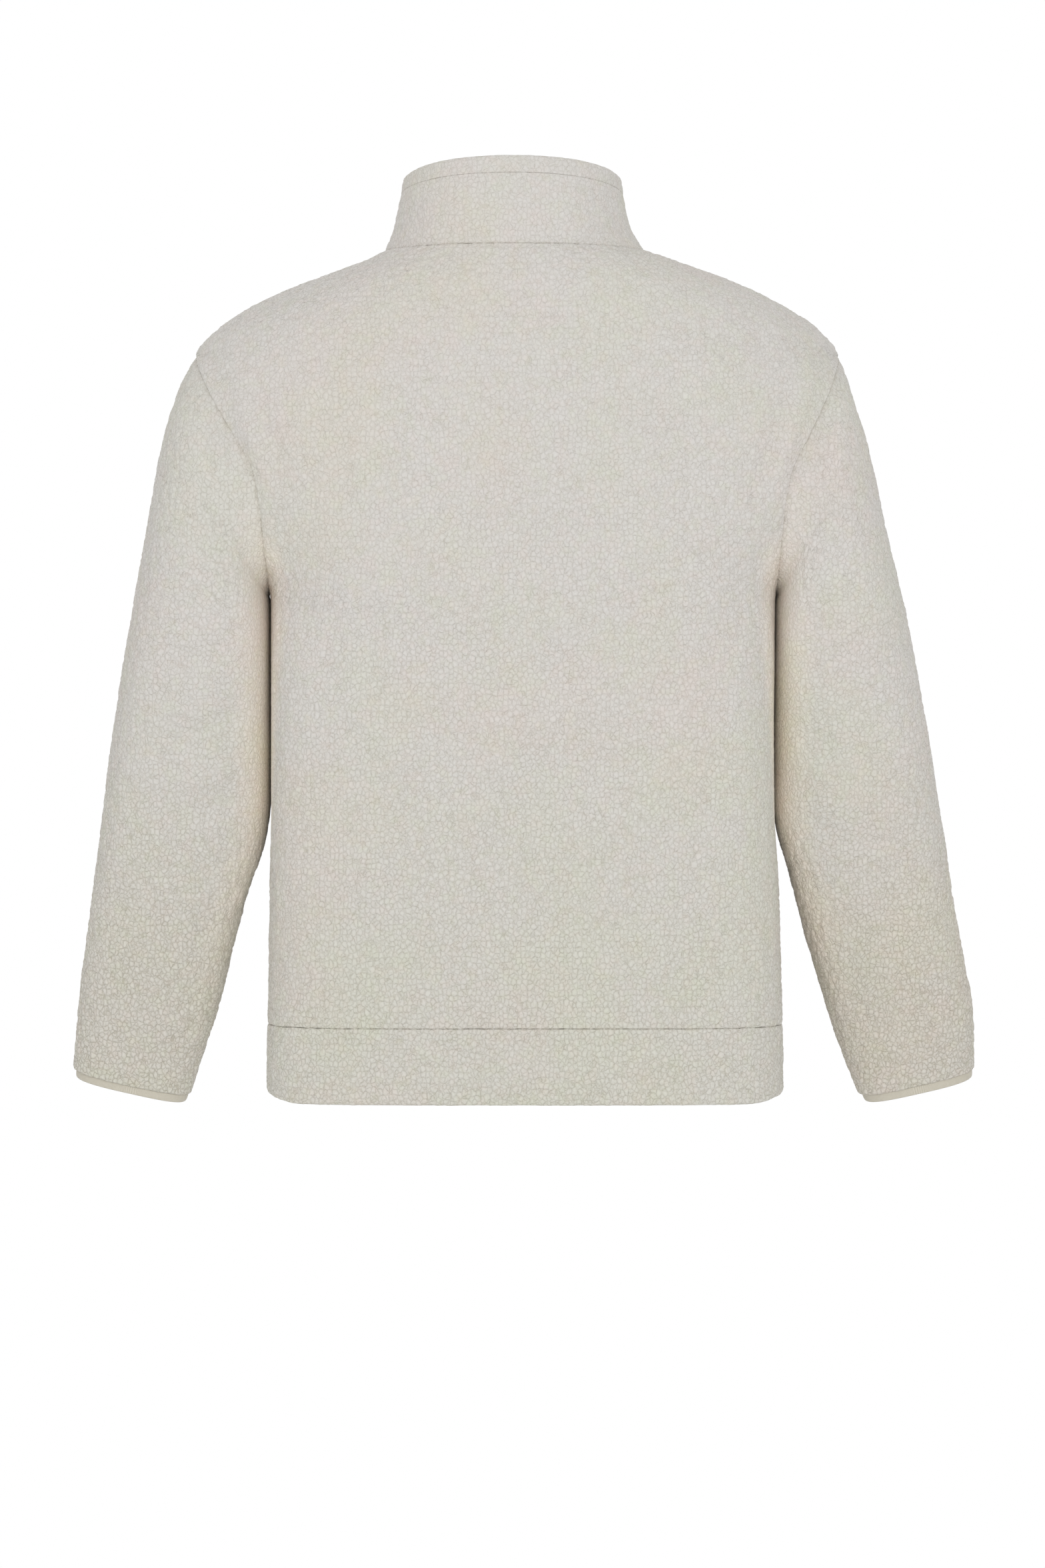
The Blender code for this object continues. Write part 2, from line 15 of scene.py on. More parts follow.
import bmesh
import bpy
import numpy as np
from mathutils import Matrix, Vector


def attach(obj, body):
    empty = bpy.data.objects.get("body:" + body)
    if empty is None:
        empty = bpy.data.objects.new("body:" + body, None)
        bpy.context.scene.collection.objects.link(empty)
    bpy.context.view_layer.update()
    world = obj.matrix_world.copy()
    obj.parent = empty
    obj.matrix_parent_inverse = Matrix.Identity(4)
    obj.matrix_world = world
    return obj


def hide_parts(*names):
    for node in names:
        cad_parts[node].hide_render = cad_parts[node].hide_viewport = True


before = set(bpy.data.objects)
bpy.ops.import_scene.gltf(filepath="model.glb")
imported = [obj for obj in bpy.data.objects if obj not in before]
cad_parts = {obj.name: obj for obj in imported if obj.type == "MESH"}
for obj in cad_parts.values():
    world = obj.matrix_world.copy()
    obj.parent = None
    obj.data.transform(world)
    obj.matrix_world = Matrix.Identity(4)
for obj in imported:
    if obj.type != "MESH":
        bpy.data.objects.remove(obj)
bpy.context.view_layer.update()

LOG = logging.getLogger("pullover")

WALL = 0.003  # cloth with its pile pressed flat
PILE_RISE = 0.0013  # how far the loose pile stands out of the pressed cloth
SEAM_HALF_GAP = 0.00006  # each of two sewn pieces stops this short of their seam
INNER_STEP = 3  # one step of the inner surface for so many of the outer one
EDGE_STEPS = (0.0, 0.0005, 0.0012, 0.0021, 0.0033)  # fine steps of a surface away from its edges

HEM_BOTTOM = -0.7110
HEM_SEAM = -0.6476
COLLAR_BAND_SHARE = 0.83  # where on the collar's height its top band is sewn on
FOLD_ENDS = 0.55  # depth of a fold at its ends, as a share of its middle
BACK_TO_FRONT = (-0.030, 0.015)  # y over which the painted shade of the back fades out


class Side(Enum):
    """A side of the garment as seen from behind, with the sign of its x."""

    LEFT = -1
    RIGHT = 1


class Face(Enum):
    """The back or the front of the garment, with the sign of its y."""

    BACK = -1
    FRONT = 1


class Edge(Enum):
    """What an edge of a piece is: how low its pile lies, how far in, and how its line shows."""

    SEAM = (0.0003, 0.0045, 0.27, 0.0011)
    FAINT_SEAM = (0.0008, 0.0060, 0.08, 0.0010)
    ARMHOLE = (0.0006, 0.0070, 0.34, 0.0038)
    SIDE_SEAM = (0.0009, 0.0035, 0.06, 0.0011)
    CUFF = (0.0006, 0.0026, 0.30, 0.0010)
    RIM = (-0.0010, 0.0042, 0.0, 0.0010)

    def __init__(self, sunk: float, reach: float, line: float, width: float) -> None:
        """Keeps the edge's numbers, all in metres but the line's strength.

        Args:
            sunk: offset of the outer surface at the edge itself.
            reach: distance over which the surface rises to its full pile.
            line: how strongly the sewn line shows between the pieces, from 0 to 1.
            width: how wide that line's shade is on either side.
        """
        self.sunk, self.reach, self.line, self.width = sunk, reach, line, width


class Hold(Enum):
    """How a cut piece of cloth is held, in the words that the frame knows."""

    HUNG = "hung"
    STRETCHED = "stretched"


@dataclass(frozen=True)
class TrunkRow:
    """One ring of the trunk, from the hem up to the neck."""

    z: float
    centre: float
    half_width: float
    back: float
    front: float
    power: float
    front_drop: float
    bow: float


@dataclass(frozen=True)
class SleeveRow:
    """One ring of the sleeves, from the shoulder down to the cuff."""

    index: int
    left_outer: float
    right_outer: float
    outer_z: float
    left_inner: float
    right_inner: float
    inner_z: float
    half_depth: float
    forward: float
    inner_power: float


@dataclass(frozen=True)
class CollarRow:
    """One ring of the collar, upwards from the neck seam."""

    share: float
    centre: float
    half_width: float
    back: float
    front: float
    back_z: float
    side_z: float
    front_z: float
    power: float


@dataclass(frozen=True)
class Fold:
    """A soft fold from a start to an end; a depth under nought is a trough."""

    side: Side
    face: Face
    start: tuple[float, float]
    end: tuple[float, float]
    depth: float
    width: float


TRUNK_ROWS = tuple(
    TrunkRow(*row)
    for row in (
        (-0.7110, 0.0022, 0.2150, 0.102, 0.108, 4.6, 0.000, 0.000),
        (-0.6476, 0.0022, 0.2145, 0.103, 0.110, 4.6, 0.000, 0.000),
        (-0.5600, 0.0015, 0.2125, 0.104, 0.113, 4.6, 0.000, 0.000),
        (-0.4700, 0.0002, 0.2108, 0.106, 0.116, 4.5, 0.000, 0.000),
        (-0.3800, 0.0000, 0.2108, 0.110, 0.119, 4.2, 0.000, -0.010),
        (-0.2850, 0.0000, 0.2120, 0.114, 0.122, 3.5, 0.000, -0.022),
        (-0.2520, 0.0000, 0.2145, 0.115, 0.123, 3.2, 0.000, -0.016),
        (-0.2190, 0.0000, 0.2175, 0.116, 0.123, 2.95, 0.002, -0.008),
        (-0.1860, 0.0000, 0.2235, 0.116, 0.121, 2.75, 0.005, 0.000),
        (-0.1590, -0.0005, 0.2370, 0.1155, 0.1185, 2.6, 0.010, 0.006),
        (-0.1410, -0.0015, 0.2470, 0.1145, 0.1155, 2.5, 0.014, 0.010),
        (-0.1060, -0.0035, 0.2640, 0.112, 0.110, 2.35, 0.025, 0.018),
        (-0.0880, -0.0045, 0.2690, 0.110, 0.107, 2.3, 0.031, 0.021),
        (-0.0675, -0.0035, 0.2540, 0.107, 0.103, 2.25, 0.038, 0.017),
        (-0.0450, -0.0025, 0.2200, 0.103, 0.098, 2.2, 0.045, 0.011),
        (-0.0225, -0.0010, 0.1685, 0.097, 0.090, 2.15, 0.051, 0.005),
        (-0.0113, -0.0015, 0.1375, 0.092, 0.084, 2.1, 0.0535, 0.002),
        (0.0000, -0.0065, 0.1085, 0.085, 0.077, 2.1, 0.055, 0.000),
    )
)

SLEEVE_ROWS = tuple(
    SleeveRow(*row)
    for row in (
        (0, 0.2905, 0.2765, -0.124, 0.2140, 0.2140, -0.2895, 0.0855, 0.0000, 2.25),
        (1, 0.3030, 0.2900, -0.169, 0.2120, 0.2120, -0.2960, 0.0870, 0.0005, 2.25),
        (2, 0.3150, 0.3045, -0.236, 0.2120, 0.2120, -0.3120, 0.0860, 0.0015, 2.30),
        (3, 0.3260, 0.3185, -0.293, 0.2120, 0.2120, -0.3380, 0.0810, 0.0030, 2.30),
        (4, 0.3360, 0.3310, -0.355, 0.2120, 0.2120, -0.3800, 0.0735, 0.0050, 2.30),
        (5, 0.3450, 0.3420, -0.415, 0.2120, 0.2120, -0.4280, 0.0655, 0.0075, 2.30),
        (6, 0.3540, 0.3515, -0.475, 0.2150, 0.2135, -0.4800, 0.0580, 0.0105, 2.30),
        (7, 0.3615, 0.3605, -0.530, 0.2312, 0.2298, -0.5320, 0.0510, 0.0150, 2.30),
        (8, 0.3690, 0.3700, -0.585, 0.2461, 0.2438, -0.5850, 0.0440, 0.0215, 2.30),
        (9, 0.3755, 0.3800, -0.640, 0.2625, 0.2620, -0.6460, 0.0370, 0.0295, 2.30),
        (10, 0.3800, 0.3830, -0.688, 0.2820, 0.2865, -0.7095, 0.0300, 0.0370, 2.30),
    )
)

COLLAR_ROWS = tuple(
    CollarRow(*row)
    for row in (
        (0.00, -0.0065, 0.1085, 0.0850, 0.0770, 0.0030, 0.0000, -0.0550, 2.1),
        (0.30, -0.0086, 0.0990, 0.0845, 0.0795, 0.0235, 0.0185, -0.0290, 2.15),
        (0.60, -0.0090, 0.0945, 0.0840, 0.0810, 0.0430, 0.0355, -0.0030, 2.2),
        (0.83, -0.0088, 0.0925, 0.0832, 0.0815, 0.0620, 0.0480, 0.0165, 2.2),
        (1.00, -0.0086, 0.0905, 0.0820, 0.0810, 0.0765, 0.0615, 0.0310, 2.2),
    )
)

TRUNK_FOLDS = tuple(
    Fold(*row)
    for row in (
        (Side.LEFT, Face.BACK, (0.236, -0.112), (0.216, -0.182), 0.0040, 0.009),
        (Side.LEFT, Face.BACK, (0.221, -0.120), (0.198, -0.192), -0.0035, 0.010),
        (Side.RIGHT, Face.BACK, (0.235, -0.118), (0.213, -0.190), 0.0035, 0.009),
        (Side.RIGHT, Face.BACK, (0.219, -0.126), (0.196, -0.200), -0.0030, 0.010),
        (Side.LEFT, Face.BACK, (0.186, -0.240), (0.150, -0.400), -0.0030, 0.022),
        (Side.RIGHT, Face.BACK, (0.190, -0.250), (0.158, -0.370), -0.0025, 0.020),
        (Side.LEFT, Face.FRONT, (0.232, -0.125), (0.196, -0.205), -0.0040, 0.011),
        (Side.RIGHT, Face.FRONT, (0.230, -0.130), (0.198, -0.198), -0.0035, 0.011),
        (Side.LEFT, Face.FRONT, (0.180, -0.250), (0.120, -0.390), -0.0030, 0.022),
        (Side.RIGHT, Face.FRONT, (0.176, -0.262), (0.132, -0.430), -0.0035, 0.020),
    )
)

SLEEVE_FOLDS = tuple(
    Fold(*row)
    for row in (
        (Side.LEFT, Face.BACK, (0.252, -0.130), (0.250, -0.178), -0.0050, 0.008),
        (Side.RIGHT, Face.BACK, (0.250, -0.136), (0.247, -0.186), -0.0045, 0.008),
        (Side.LEFT, Face.BACK, (0.232, -0.385), (0.300, -0.420), -0.0035, 0.011),
        (Side.LEFT, Face.BACK, (0.236, -0.455), (0.290, -0.470), -0.0025, 0.012),
        (Side.RIGHT, Face.BACK, (0.232, -0.405), (0.292, -0.432), -0.0030, 0.011),
        (Side.RIGHT, Face.BACK, (0.240, -0.480), (0.310, -0.500), -0.0022, 0.012),
        (Side.LEFT, Face.FRONT, (0.236, -0.400), (0.318, -0.440), -0.0050, 0.012),
        (Side.LEFT, Face.FRONT, (0.240, -0.440), (0.305, -0.462), -0.0035, 0.010),
        (Side.RIGHT, Face.FRONT, (0.234, -0.392), (0.312, -0.425), -0.0045, 0.012),
        (Side.RIGHT, Face.FRONT, (0.238, -0.436), (0.322, -0.470), -0.0040, 0.010),
        (Side.LEFT, Face.FRONT, (0.250, -0.140), (0.248, -0.190), -0.0040, 0.010),
        (Side.RIGHT, Face.FRONT, (0.248, -0.145), (0.246, -0.195), -0.0040, 0.010),
    )
)


class SmoothTable:
    """Smooth curves through the columns of a table, with no overshoot between its rows."""

    def __init__(self, rows: Sequence[object], key: str) -> None:
        """Keeps the rows in rising order of their key.

        Args:
            rows: the table's rows, each with the same named fields.
            key: the field that the curves run along.
        """
        self.rows = sorted(rows, key=lambda row: getattr(row, key))
        self.keys = np.array([getattr(row, key) for row in self.rows], float)

    def at(self, name: str, where: np.ndarray | float) -> np.ndarray:
        """Values of one column.

        Args:
            name: the column's field.
            where: places along the key; those past the table's ends take the end rows.

        Returns:
            The column's smooth value at each place.
        """
        x = self.keys
        y = np.array([getattr(row, name) for row in self.rows], float)
        rise = np.diff(y) / np.diff(x)
        slope = np.concatenate([rise[:1], np.zeros(len(x) - 2), rise[-1:]])
        for k in range(1, len(x) - 1):
            if rise[k - 1] * rise[k] > 0:
                slope[k] = 2 * rise[k - 1] * rise[k] / (rise[k - 1] + rise[k])
        where = np.clip(np.asarray(where, float), x[0], x[-1])
        k = np.clip(np.searchsorted(x, where) - 1, 0, len(x) - 2)
        width = x[k + 1] - x[k]
        t = (where - x[k]) / width
        return hermite(y[k], y[k + 1], slope[k] * width, slope[k + 1] * width, t)


def unit(vectors: np.ndarray) -> np.ndarray:
    """The same directions at length one."""
    return vectors / np.maximum(np.linalg.norm(vectors, axis=-1, keepdims=True), 1e-12)


def fine_edged(length: float, pitch: float) -> np.ndarray:
    """Places along a length, close together near both ends and even between them.

    Args:
        length: the whole length in metres.
        pitch: the widest step in metres.

    Returns:
        Rising places from 0 to length; their steps are a multiple of INNER_STEP.
    """
    lead = np.array(EDGE_STEPS)
    inner = length - 2 * lead[-1]
    steps = math.ceil(inner / pitch)
    steps += -(steps + 2 * (len(lead) - 1)) % INNER_STEP
    middle = np.linspace(lead[-1], length - lead[-1], steps + 1)
    return np.concatenate([lead[:-1], middle, (length - lead[:-1])[::-1]])


def smooth_step(value: np.ndarray | float, low: float, high: float) -> np.ndarray:
    """Rises softly from 0 where value is low to 1 where it is high."""
    t = np.clip((np.asarray(value, float) - low) / (high - low), 0, 1)
    return t * t * (3 - 2 * t)


def behind(grid: np.ndarray) -> np.ndarray:
    """1 on the back half of the garment, fading to 0 on its front half."""
    return 1 - smooth_step(grid[..., 1], *BACK_TO_FRONT)


def hermite(
    start: np.ndarray, end: np.ndarray, leave: np.ndarray, arrive: np.ndarray, t: np.ndarray
) -> np.ndarray:
    """Smooth values between two ends with a slope at each.

    Args:
        start: values where t is 0.
        end: values where t is 1.
        leave: slopes at the start, over the whole step.
        arrive: slopes at the end, over the whole step.
        t: places from 0 to 1.

    Returns:
        The values at those places.
    """
    return (
        start * (1 + 2 * t) * (1 - t) ** 2
        + leave * t * (1 - t) ** 2
        + end * t * t * (3 - 2 * t)
        + arrive * t * t * (t - 1)
    )


class ClothNoise:
    """Seeded unevenness of cloth, worked out from places in metres."""

    PRIMES = (np.uint32(73856093), np.uint32(19349663), np.uint32(83492791))
    NUB_SPREAD = 0.62  # squared reach of a nub, in distances between nubs

    def __init__(self, seed: int) -> None:
        """Keeps the seed, which alone decides the pattern."""
        self.seed = np.uint32(seed * 2654435761 % 2**32)

    def hashed(self, cell: np.ndarray, salt: int) -> np.ndarray:
        """One number from 0 to 1 for each whole-numbered cell.

        Args:
            cell: whole numbers, the last axis x, y and z.
            salt: chooses one of several independent numbers for a cell.

        Returns:
            Numbers from 0 to 1, one for each cell.
        """
        c = cell.astype(np.int64).astype(np.uint32)
        mixed = c[..., 0] * self.PRIMES[0] ^ c[..., 1] * self.PRIMES[1] ^ c[..., 2] * self.PRIMES[2]
        mixed = mixed ^ self.seed ^ np.uint32(salt * 668265263 % 2**32)
        for shift, factor in ((16, 2146121005), (15, 2221713035)):
            mixed = (mixed ^ (mixed >> np.uint32(shift))) * np.uint32(factor)
        return (mixed ^ (mixed >> np.uint32(16))).astype(float) / 2**32

    def soft(self, points: np.ndarray, size: float) -> np.ndarray:
        """Soft swells from -1 to 1.

        Args:
            points: places in metres.
            size: the swells' size in metres.

        Returns:
            One value for each place.
        """
        scaled = points / size
        base = np.floor(scaled)
        t = scaled - base
        t = t * t * (3 - 2 * t)
        total = np.zeros(points.shape[:-1])
        for corner in np.ndindex(2, 2, 2):
            weight = np.prod(np.where(corner, t, 1 - t), axis=-1)
            total += weight * self.hashed(base + corner, 7)
        return 2 * total - 1

    def nubs(self, points: np.ndarray, size: float) -> np.ndarray:
        """Round nubs of curly pile.

        Args:
            points: places in metres.
            size: the usual distance between nubs in metres.

        Returns:
            0 in the gaps between nubs and 1 at the middle of one, for each place.
        """
        scaled = points / size
        base = np.floor(scaled)
        nearest = np.full(points.shape[:-1], np.inf)
        for step in np.ndindex(3, 3, 3):
            cell = base + np.array(step) - 1
            middle = cell + np.stack([self.hashed(cell, salt) for salt in (1, 2, 3)], axis=-1)
            nearest = np.minimum(nearest, np.sum((scaled - middle) ** 2, axis=-1))
        return np.clip(1 - nearest / self.NUB_SPREAD, 0, 1)


def grid_normals(grid: np.ndarray, closed: bool) -> np.ndarray:
    """Directions square to a grid of points, pointing away from the middle of the piece.

    Args:
        grid: points, as rings by columns.
        closed: True where the last column joins the first.

    Returns:
        One unit vector for each point.
    """
    if closed:
        along = np.roll(grid, -1, axis=1) - np.roll(grid, 1, axis=1)
    else:
        along = np.gradient(grid, axis=1)
    normal = unit(np.cross(along, np.gradient(grid, axis=0)))
    away = grid - grid.reshape(-1, 3).mean(axis=0)
    return normal if np.sum(away * normal) > 0 else -normal


@dataclass
class PileSurface:
    """A smooth grid turned into the two surfaces of a pile cloth wall."""

    grid: np.ndarray
    closed: bool
    lower: Edge
    upper: Edge
    sides: Edge = Edge.SIDE_SEAM
    pressed: np.ndarray | None = None  # 1 where a neighbour presses the pile flat
    shade: np.ndarray | None = None  # painted crease light: 1 deep in the crease beside a neighbour
    nub_height: float = 0.0015
    clump_height: float = 0.0005
    seed: int = 1
    outer: np.ndarray = field(init=False)
    inner: np.ndarray = field(init=False)
    pile: np.ndarray = field(init=False)
    seam: np.ndarray = field(init=False)

    NUB_SIZE = 0.0050
    NUB_STRETCH = (1.0, 1.0, 0.85)
    CLUMP_SIZE = 0.016
    WARP_SIZE, WARP_REACH = 0.006, 0.0012  # the nubs' rows are bent by this
    PRESSED_RISE, PRESSED_PILE = 0.8, 0.85  # shares of rise and nubs that pressing takes away
    EDGE_CALM = 0.35  # the nubs' height at an edge, as a share
    RIM_THICKNESS = 0.6  # the wall's thickness at a free edge, as a share
    GAP_REACH = 0.0008

    def __post_init__(self) -> None:
        """Works out both surfaces and the numbers that the finish reads."""
        normal = grid_normals(self.grid, self.closed)
        flat = np.zeros(self.grid.shape[:2]) if self.pressed is None else self.pressed
        rise = PILE_RISE * (1 - self.PRESSED_RISE * flat)
        offset = rise.copy()
        depth = np.full(self.grid.shape[:2], WALL)
        self.seam = np.zeros(self.grid.shape[:2])
        base = self.grid.copy()
        calm = np.ones(self.grid.shape[:2])
        for kind, distance, inward in self.edges():
            t = np.clip(distance / kind.reach, 0, 1)
            roll = np.sqrt(1 - (1 - t) ** 2)
            offset = np.minimum(offset, kind.sunk + (rise - kind.sunk) * roll)
            calm = np.minimum(calm, self.EDGE_CALM + (1 - self.EDGE_CALM) * t)
            if kind is Edge.RIM:
                thick = self.RIM_THICKNESS + (1 - self.RIM_THICKNESS) * roll
                depth = np.minimum(depth, WALL * thick)
            else:
                line = kind.line * np.exp(-((distance / kind.width) ** 2))
                self.seam = np.maximum(self.seam, line)
                base += SEAM_HALF_GAP * np.exp(-distance / self.GAP_REACH)[..., None] * inward
        noise = ClothNoise(self.seed)
        stretched = base * np.array(self.NUB_STRETCH)
        layers = [noise.soft(stretched + 0.1 * k, self.WARP_SIZE) for k in (1, 2, 3)]
        warp = self.WARP_REACH * np.stack(layers, axis=-1)
        nubs = noise.nubs(stretched + warp, self.NUB_SIZE)
        clumps = noise.soft(base, self.CLUMP_SIZE)
        loose = calm * (1 - self.PRESSED_PILE * flat)
        smooth = base + offset[..., None] * normal
        lift = loose * (self.nub_height * (nubs - 0.5) + self.clump_height * clumps)
        self.outer = smooth + lift[..., None] * grid_normals(smooth, self.closed)
        self.pile = np.clip(0.5 + loose * (0.85 * (nubs - 0.5) + 0.25 * clumps), 0, 1)
        if self.shade is None:
            self.shade = np.zeros(self.grid.shape[:2])
        columns = slice(None, None, INNER_STEP)
        self.inner = (base - depth[..., None] * normal)[::INNER_STEP, columns]

    @property
    def marks(self) -> dict[str, np.ndarray]:
        """The numbers that the finish reads, by the name of the attribute."""
        return {"pile": self.pile, "seam": self.seam, "shade": self.shade}

    def edges(self) -> list[tuple[Edge, np.ndarray, np.ndarray]]:
        """Distances of every point from each edge.

        Returns:
            For each edge: its kind, the distances along the cloth, and the unit directions into
            the piece.
        """
        found = []
        up = np.gradient(self.grid, axis=0)
        steps = np.linalg.norm(np.diff(self.grid, axis=0), axis=-1)
        rise = np.concatenate([np.zeros((1, steps.shape[1])), np.cumsum(steps, axis=0)])
        found.append((self.lower, rise, unit(up)))
        found.append((self.upper, rise[-1:] - rise, -unit(up)))
        if not self.closed:
            across = np.gradient(self.grid, axis=1)
            steps = np.linalg.norm(np.diff(self.grid, axis=1), axis=-1)
            run = np.concatenate([np.zeros((steps.shape[0], 1)), np.cumsum(steps, axis=1)], axis=1)
            found.append((self.sides, run, unit(across)))
            found.append((self.sides, run[:, -1:] - run, -unit(across)))
        return found


@dataclass(frozen=True)
class Cut:
    """How one piece was cut, what it stands for and what it is sewn to."""

    piece: str
    node: str
    slot: str
    flat: tuple[float, float]
    area: float
    held: Hold = Hold.HUNG
    sewn_to: tuple[str, ...] = ()


class ClothShell:
    """Builds one closed cloth wall as an object of the scene."""

    def __init__(self, cut: Cut, material: bpy.types.Material) -> None:
        """Keeps what the piece is and its finish."""
        self.cut = cut
        self.material = material

    def add_sheet(
        self,
        bm: bmesh.types.BMesh,
        points: np.ndarray,
        closed: bool,
        marks: dict[str, np.ndarray],
    ) -> list[bmesh.types.BMVert]:
        """Adds one surface of the wall, with a tube still open along its last column.

        Args:
            bm: the mesh that the surface goes into.
            points: rings by columns of places.
            closed: True where the last column joins the first.
            marks: one number for each point, by the name of the attribute it goes to.

        Returns:
            The vertices along the open column of a tube, both times round; otherwise none.
        """
        rings, columns = points.shape[:2]
        first = len(bm.verts)
        bmesh.ops.create_grid(bm, x_segments=columns - 1 + closed, y_segments=rings - 1, size=1)
        bm.verts.ensure_lookup_table()
        layers = {name: bm.verts.layers.float[name] for name in marks}
        ring_layer = bm.verts.layers.int["ring"]
        uv_layer = bm.loops.layers.uv["cloth"]
        across = float(np.linalg.norm(points[0, 1] - points[0, 0]))
        wide = columns + closed
        open_column = []
        for k, vert in enumerate(bm.verts[first:]):
            ring, step = divmod(k, wide)
            column = step % columns
            vert.co = points[ring, column]
            vert[ring_layer] = ring
            for name, layer in layers.items():
                vert[layer] = marks[name][ring, column]
            for loop in vert.link_loops:
                loop[uv_layer].uv = (step * across, ring / (rings - 1))
            if closed and column == 0:
                open_column.append(vert)
        return open_column

    def close_wall(self, bm: bmesh.types.BMesh, closed: bool) -> None:
        """Joins the two surfaces along all their edges.

        Args:
            bm: the mesh with both surfaces.
            closed: True for a tube, which has a lower and an upper edge.
        """
        ring = bm.verts.layers.int["ring"]
        rims = [edge for edge in bm.edges if edge.is_boundary]
        if closed:
            low = [edge for edge in rims if edge.verts[0][ring] == 0]
            high = [edge for edge in rims if edge.verts[0][ring] != 0]
            bmesh.ops.bridge_loops(bm, edges=low)
            bmesh.ops.bridge_loops(bm, edges=high)
        else:
            bmesh.ops.bridge_loops(bm, edges=rims)
        bmesh.ops.recalc_face_normals(bm, faces=bm.faces)
        bm.verts.layers.int.remove(ring)

    def build(
        self,
        outer: np.ndarray,
        inner: np.ndarray,
        closed: bool,
        marks: dict[str, np.ndarray],
    ) -> bpy.types.Object:
        """Makes the wall, dresses it, attaches it to the root body and hides the part it stands for.

        Args:
            outer: places of the outer surface, rings by columns.
            inner: places of the coarser inner surface.
            closed: True for a tube.
            marks: numbers from 0 to 1 for the outer points, by the name of the attribute.

        Returns:
            The piece.
        """
        bm = bmesh.new()
        for name in (*marks, "inside"):
            bm.verts.layers.float.new(name)
        bm.verts.layers.int.new("ring")
        bm.loops.layers.uv.new("cloth")
        outside = {**marks, "inside": np.zeros(outer.shape[:2])}
        meeting = self.add_sheet(bm, outer, closed, outside)
        meeting += self.add_sheet(bm, inner, closed, {"inside": np.ones(inner.shape[:2])})
        if meeting:
            bmesh.ops.remove_doubles(bm, verts=meeting, dist=1e-6)
        self.close_wall(bm, closed)
        mesh = bpy.data.meshes.new(self.cut.piece)
        bm.to_mesh(mesh)
        bm.free()
        mesh.shade_smooth()
        mesh.materials.append(self.material)
        piece = bpy.data.objects.new(self.cut.piece, mesh)
        bpy.context.scene.collection.objects.link(piece)
        self.declare(piece)
        return piece

    def wrap(self, surface: PileSurface) -> bpy.types.Object:
        """Makes the wall from the two surfaces of a pile cloth."""
        return self.build(surface.outer, surface.inner, surface.closed, surface.marks)

    def declare(self, piece: bpy.types.Object) -> None:
        """Attaches the piece to the root body and hides the part of the model that it stands for.

        Args:
            piece: the piece, finished.
        """
        cut = self.cut
        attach(piece, "root")
        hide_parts(cut.node)
        LOG.info("%s: %d faces", cut.piece, len(piece.data.polygons))


class Tree:
    """The node tree of one material, with short calls to add and join its nodes."""

    def __init__(self, name: str) -> None:
        """Starts a material with its surface shader.

        Args:
            name: the material's name.
        """
        self.material = bpy.data.materials.new(name)
        self.material.use_nodes = True
        self.nodes = self.material.node_tree.nodes
        self.links = self.material.node_tree.links
        self.shader = self.nodes["Principled BSDF"]

    def add(self, kind: str, **settings: object) -> bpy.types.Node:
        """Adds a node.

        Args:
            kind: the node's type, without its ShaderNode prefix.
            settings: properties of the node.

        Returns:
            The new node.
        """
        node = self.nodes.new("ShaderNode" + kind)
        for name, value in settings.items():
            setattr(node, name, value)
        return node

    def join(self, source: object, target: bpy.types.NodeSocket) -> None:
        """Links a socket to an input, or sets the input to a plain value."""
        if isinstance(source, bpy.types.NodeSocket):
            self.links.new(source, target)
        else:
            target.default_value = source

    def put(self, node: bpy.types.Node, values: dict[str | int, object]) -> bpy.types.Node:
        """Gives a node its inputs.

        Args:
            node: the node.
            values: a socket or plain value for each input, by its name or number.

        Returns:
            The same node.
        """
        for name, value in values.items():
            self.join(value, node.inputs[name])
        return node

    def relieve(self, height: object, strength: float, depth: float) -> None:
        """Gives the surface a fine relief, as deep in metres as stated."""
        bump = self.put(
            self.add("Bump"), {"Strength": strength, "Distance": depth, "Height": height}
        )
        self.join(bump.outputs["Normal"], self.shader.inputs["Normal"])

    def sum_up(self, operation: str, *values: object) -> bpy.types.NodeSocket:
        """A Math node's result.

        Args:
            operation: the Math node's operation.
            values: its inputs, each a socket or a number.

        Returns:
            The result's socket.
        """
        return self.put(self.add("Math", operation=operation), dict(enumerate(values))).outputs[0]

    def ranged(self, value: object, low: float, high: float, start: float, end: float) -> object:
        """A value moved from one range to another and kept inside it."""
        inputs = dict(enumerate((value, low, high, start, end)))
        return self.put(self.add("MapRange"), inputs).outputs[0]

    def blend(self, share: object, first: object, second: object, kind: str = "MIX") -> object:
        """Two colours mixed.

        Args:
            share: how much of the second, a socket or a number.
            first: a colour or socket.
            second: a colour or socket.
            kind: how they mix.

        Returns:
            The mixed colour's socket.
        """
        node = self.add("Mix", data_type="RGBA", blend_type=kind)
        return self.put(node, {0: share, 6: first, 7: second}).outputs[2]

    def mixed(self, one: object, share: float, other: object, rest: float) -> object:
        """The weighted sum of two values."""
        return self.sum_up(
            "ADD", self.sum_up("MULTIPLY", one, share), self.sum_up("MULTIPLY", other, rest)
        )

    def noise(self, where: object, size: float, detail: float = 2.0) -> bpy.types.NodeSocket:
        """Soft noise whose patches measure about size, in metres."""
        inputs = {"Vector": where, "Scale": 1 / size, "Detail": detail}
        return self.put(self.add("TexNoise"), inputs).outputs["Fac"]

    def mark(self, name: str) -> bpy.types.NodeSocket:
        """The number that the mesh holds under a name."""
        return self.add("Attribute", attribute_name=name).outputs["Fac"]


Colour = tuple[float, float, float, float]


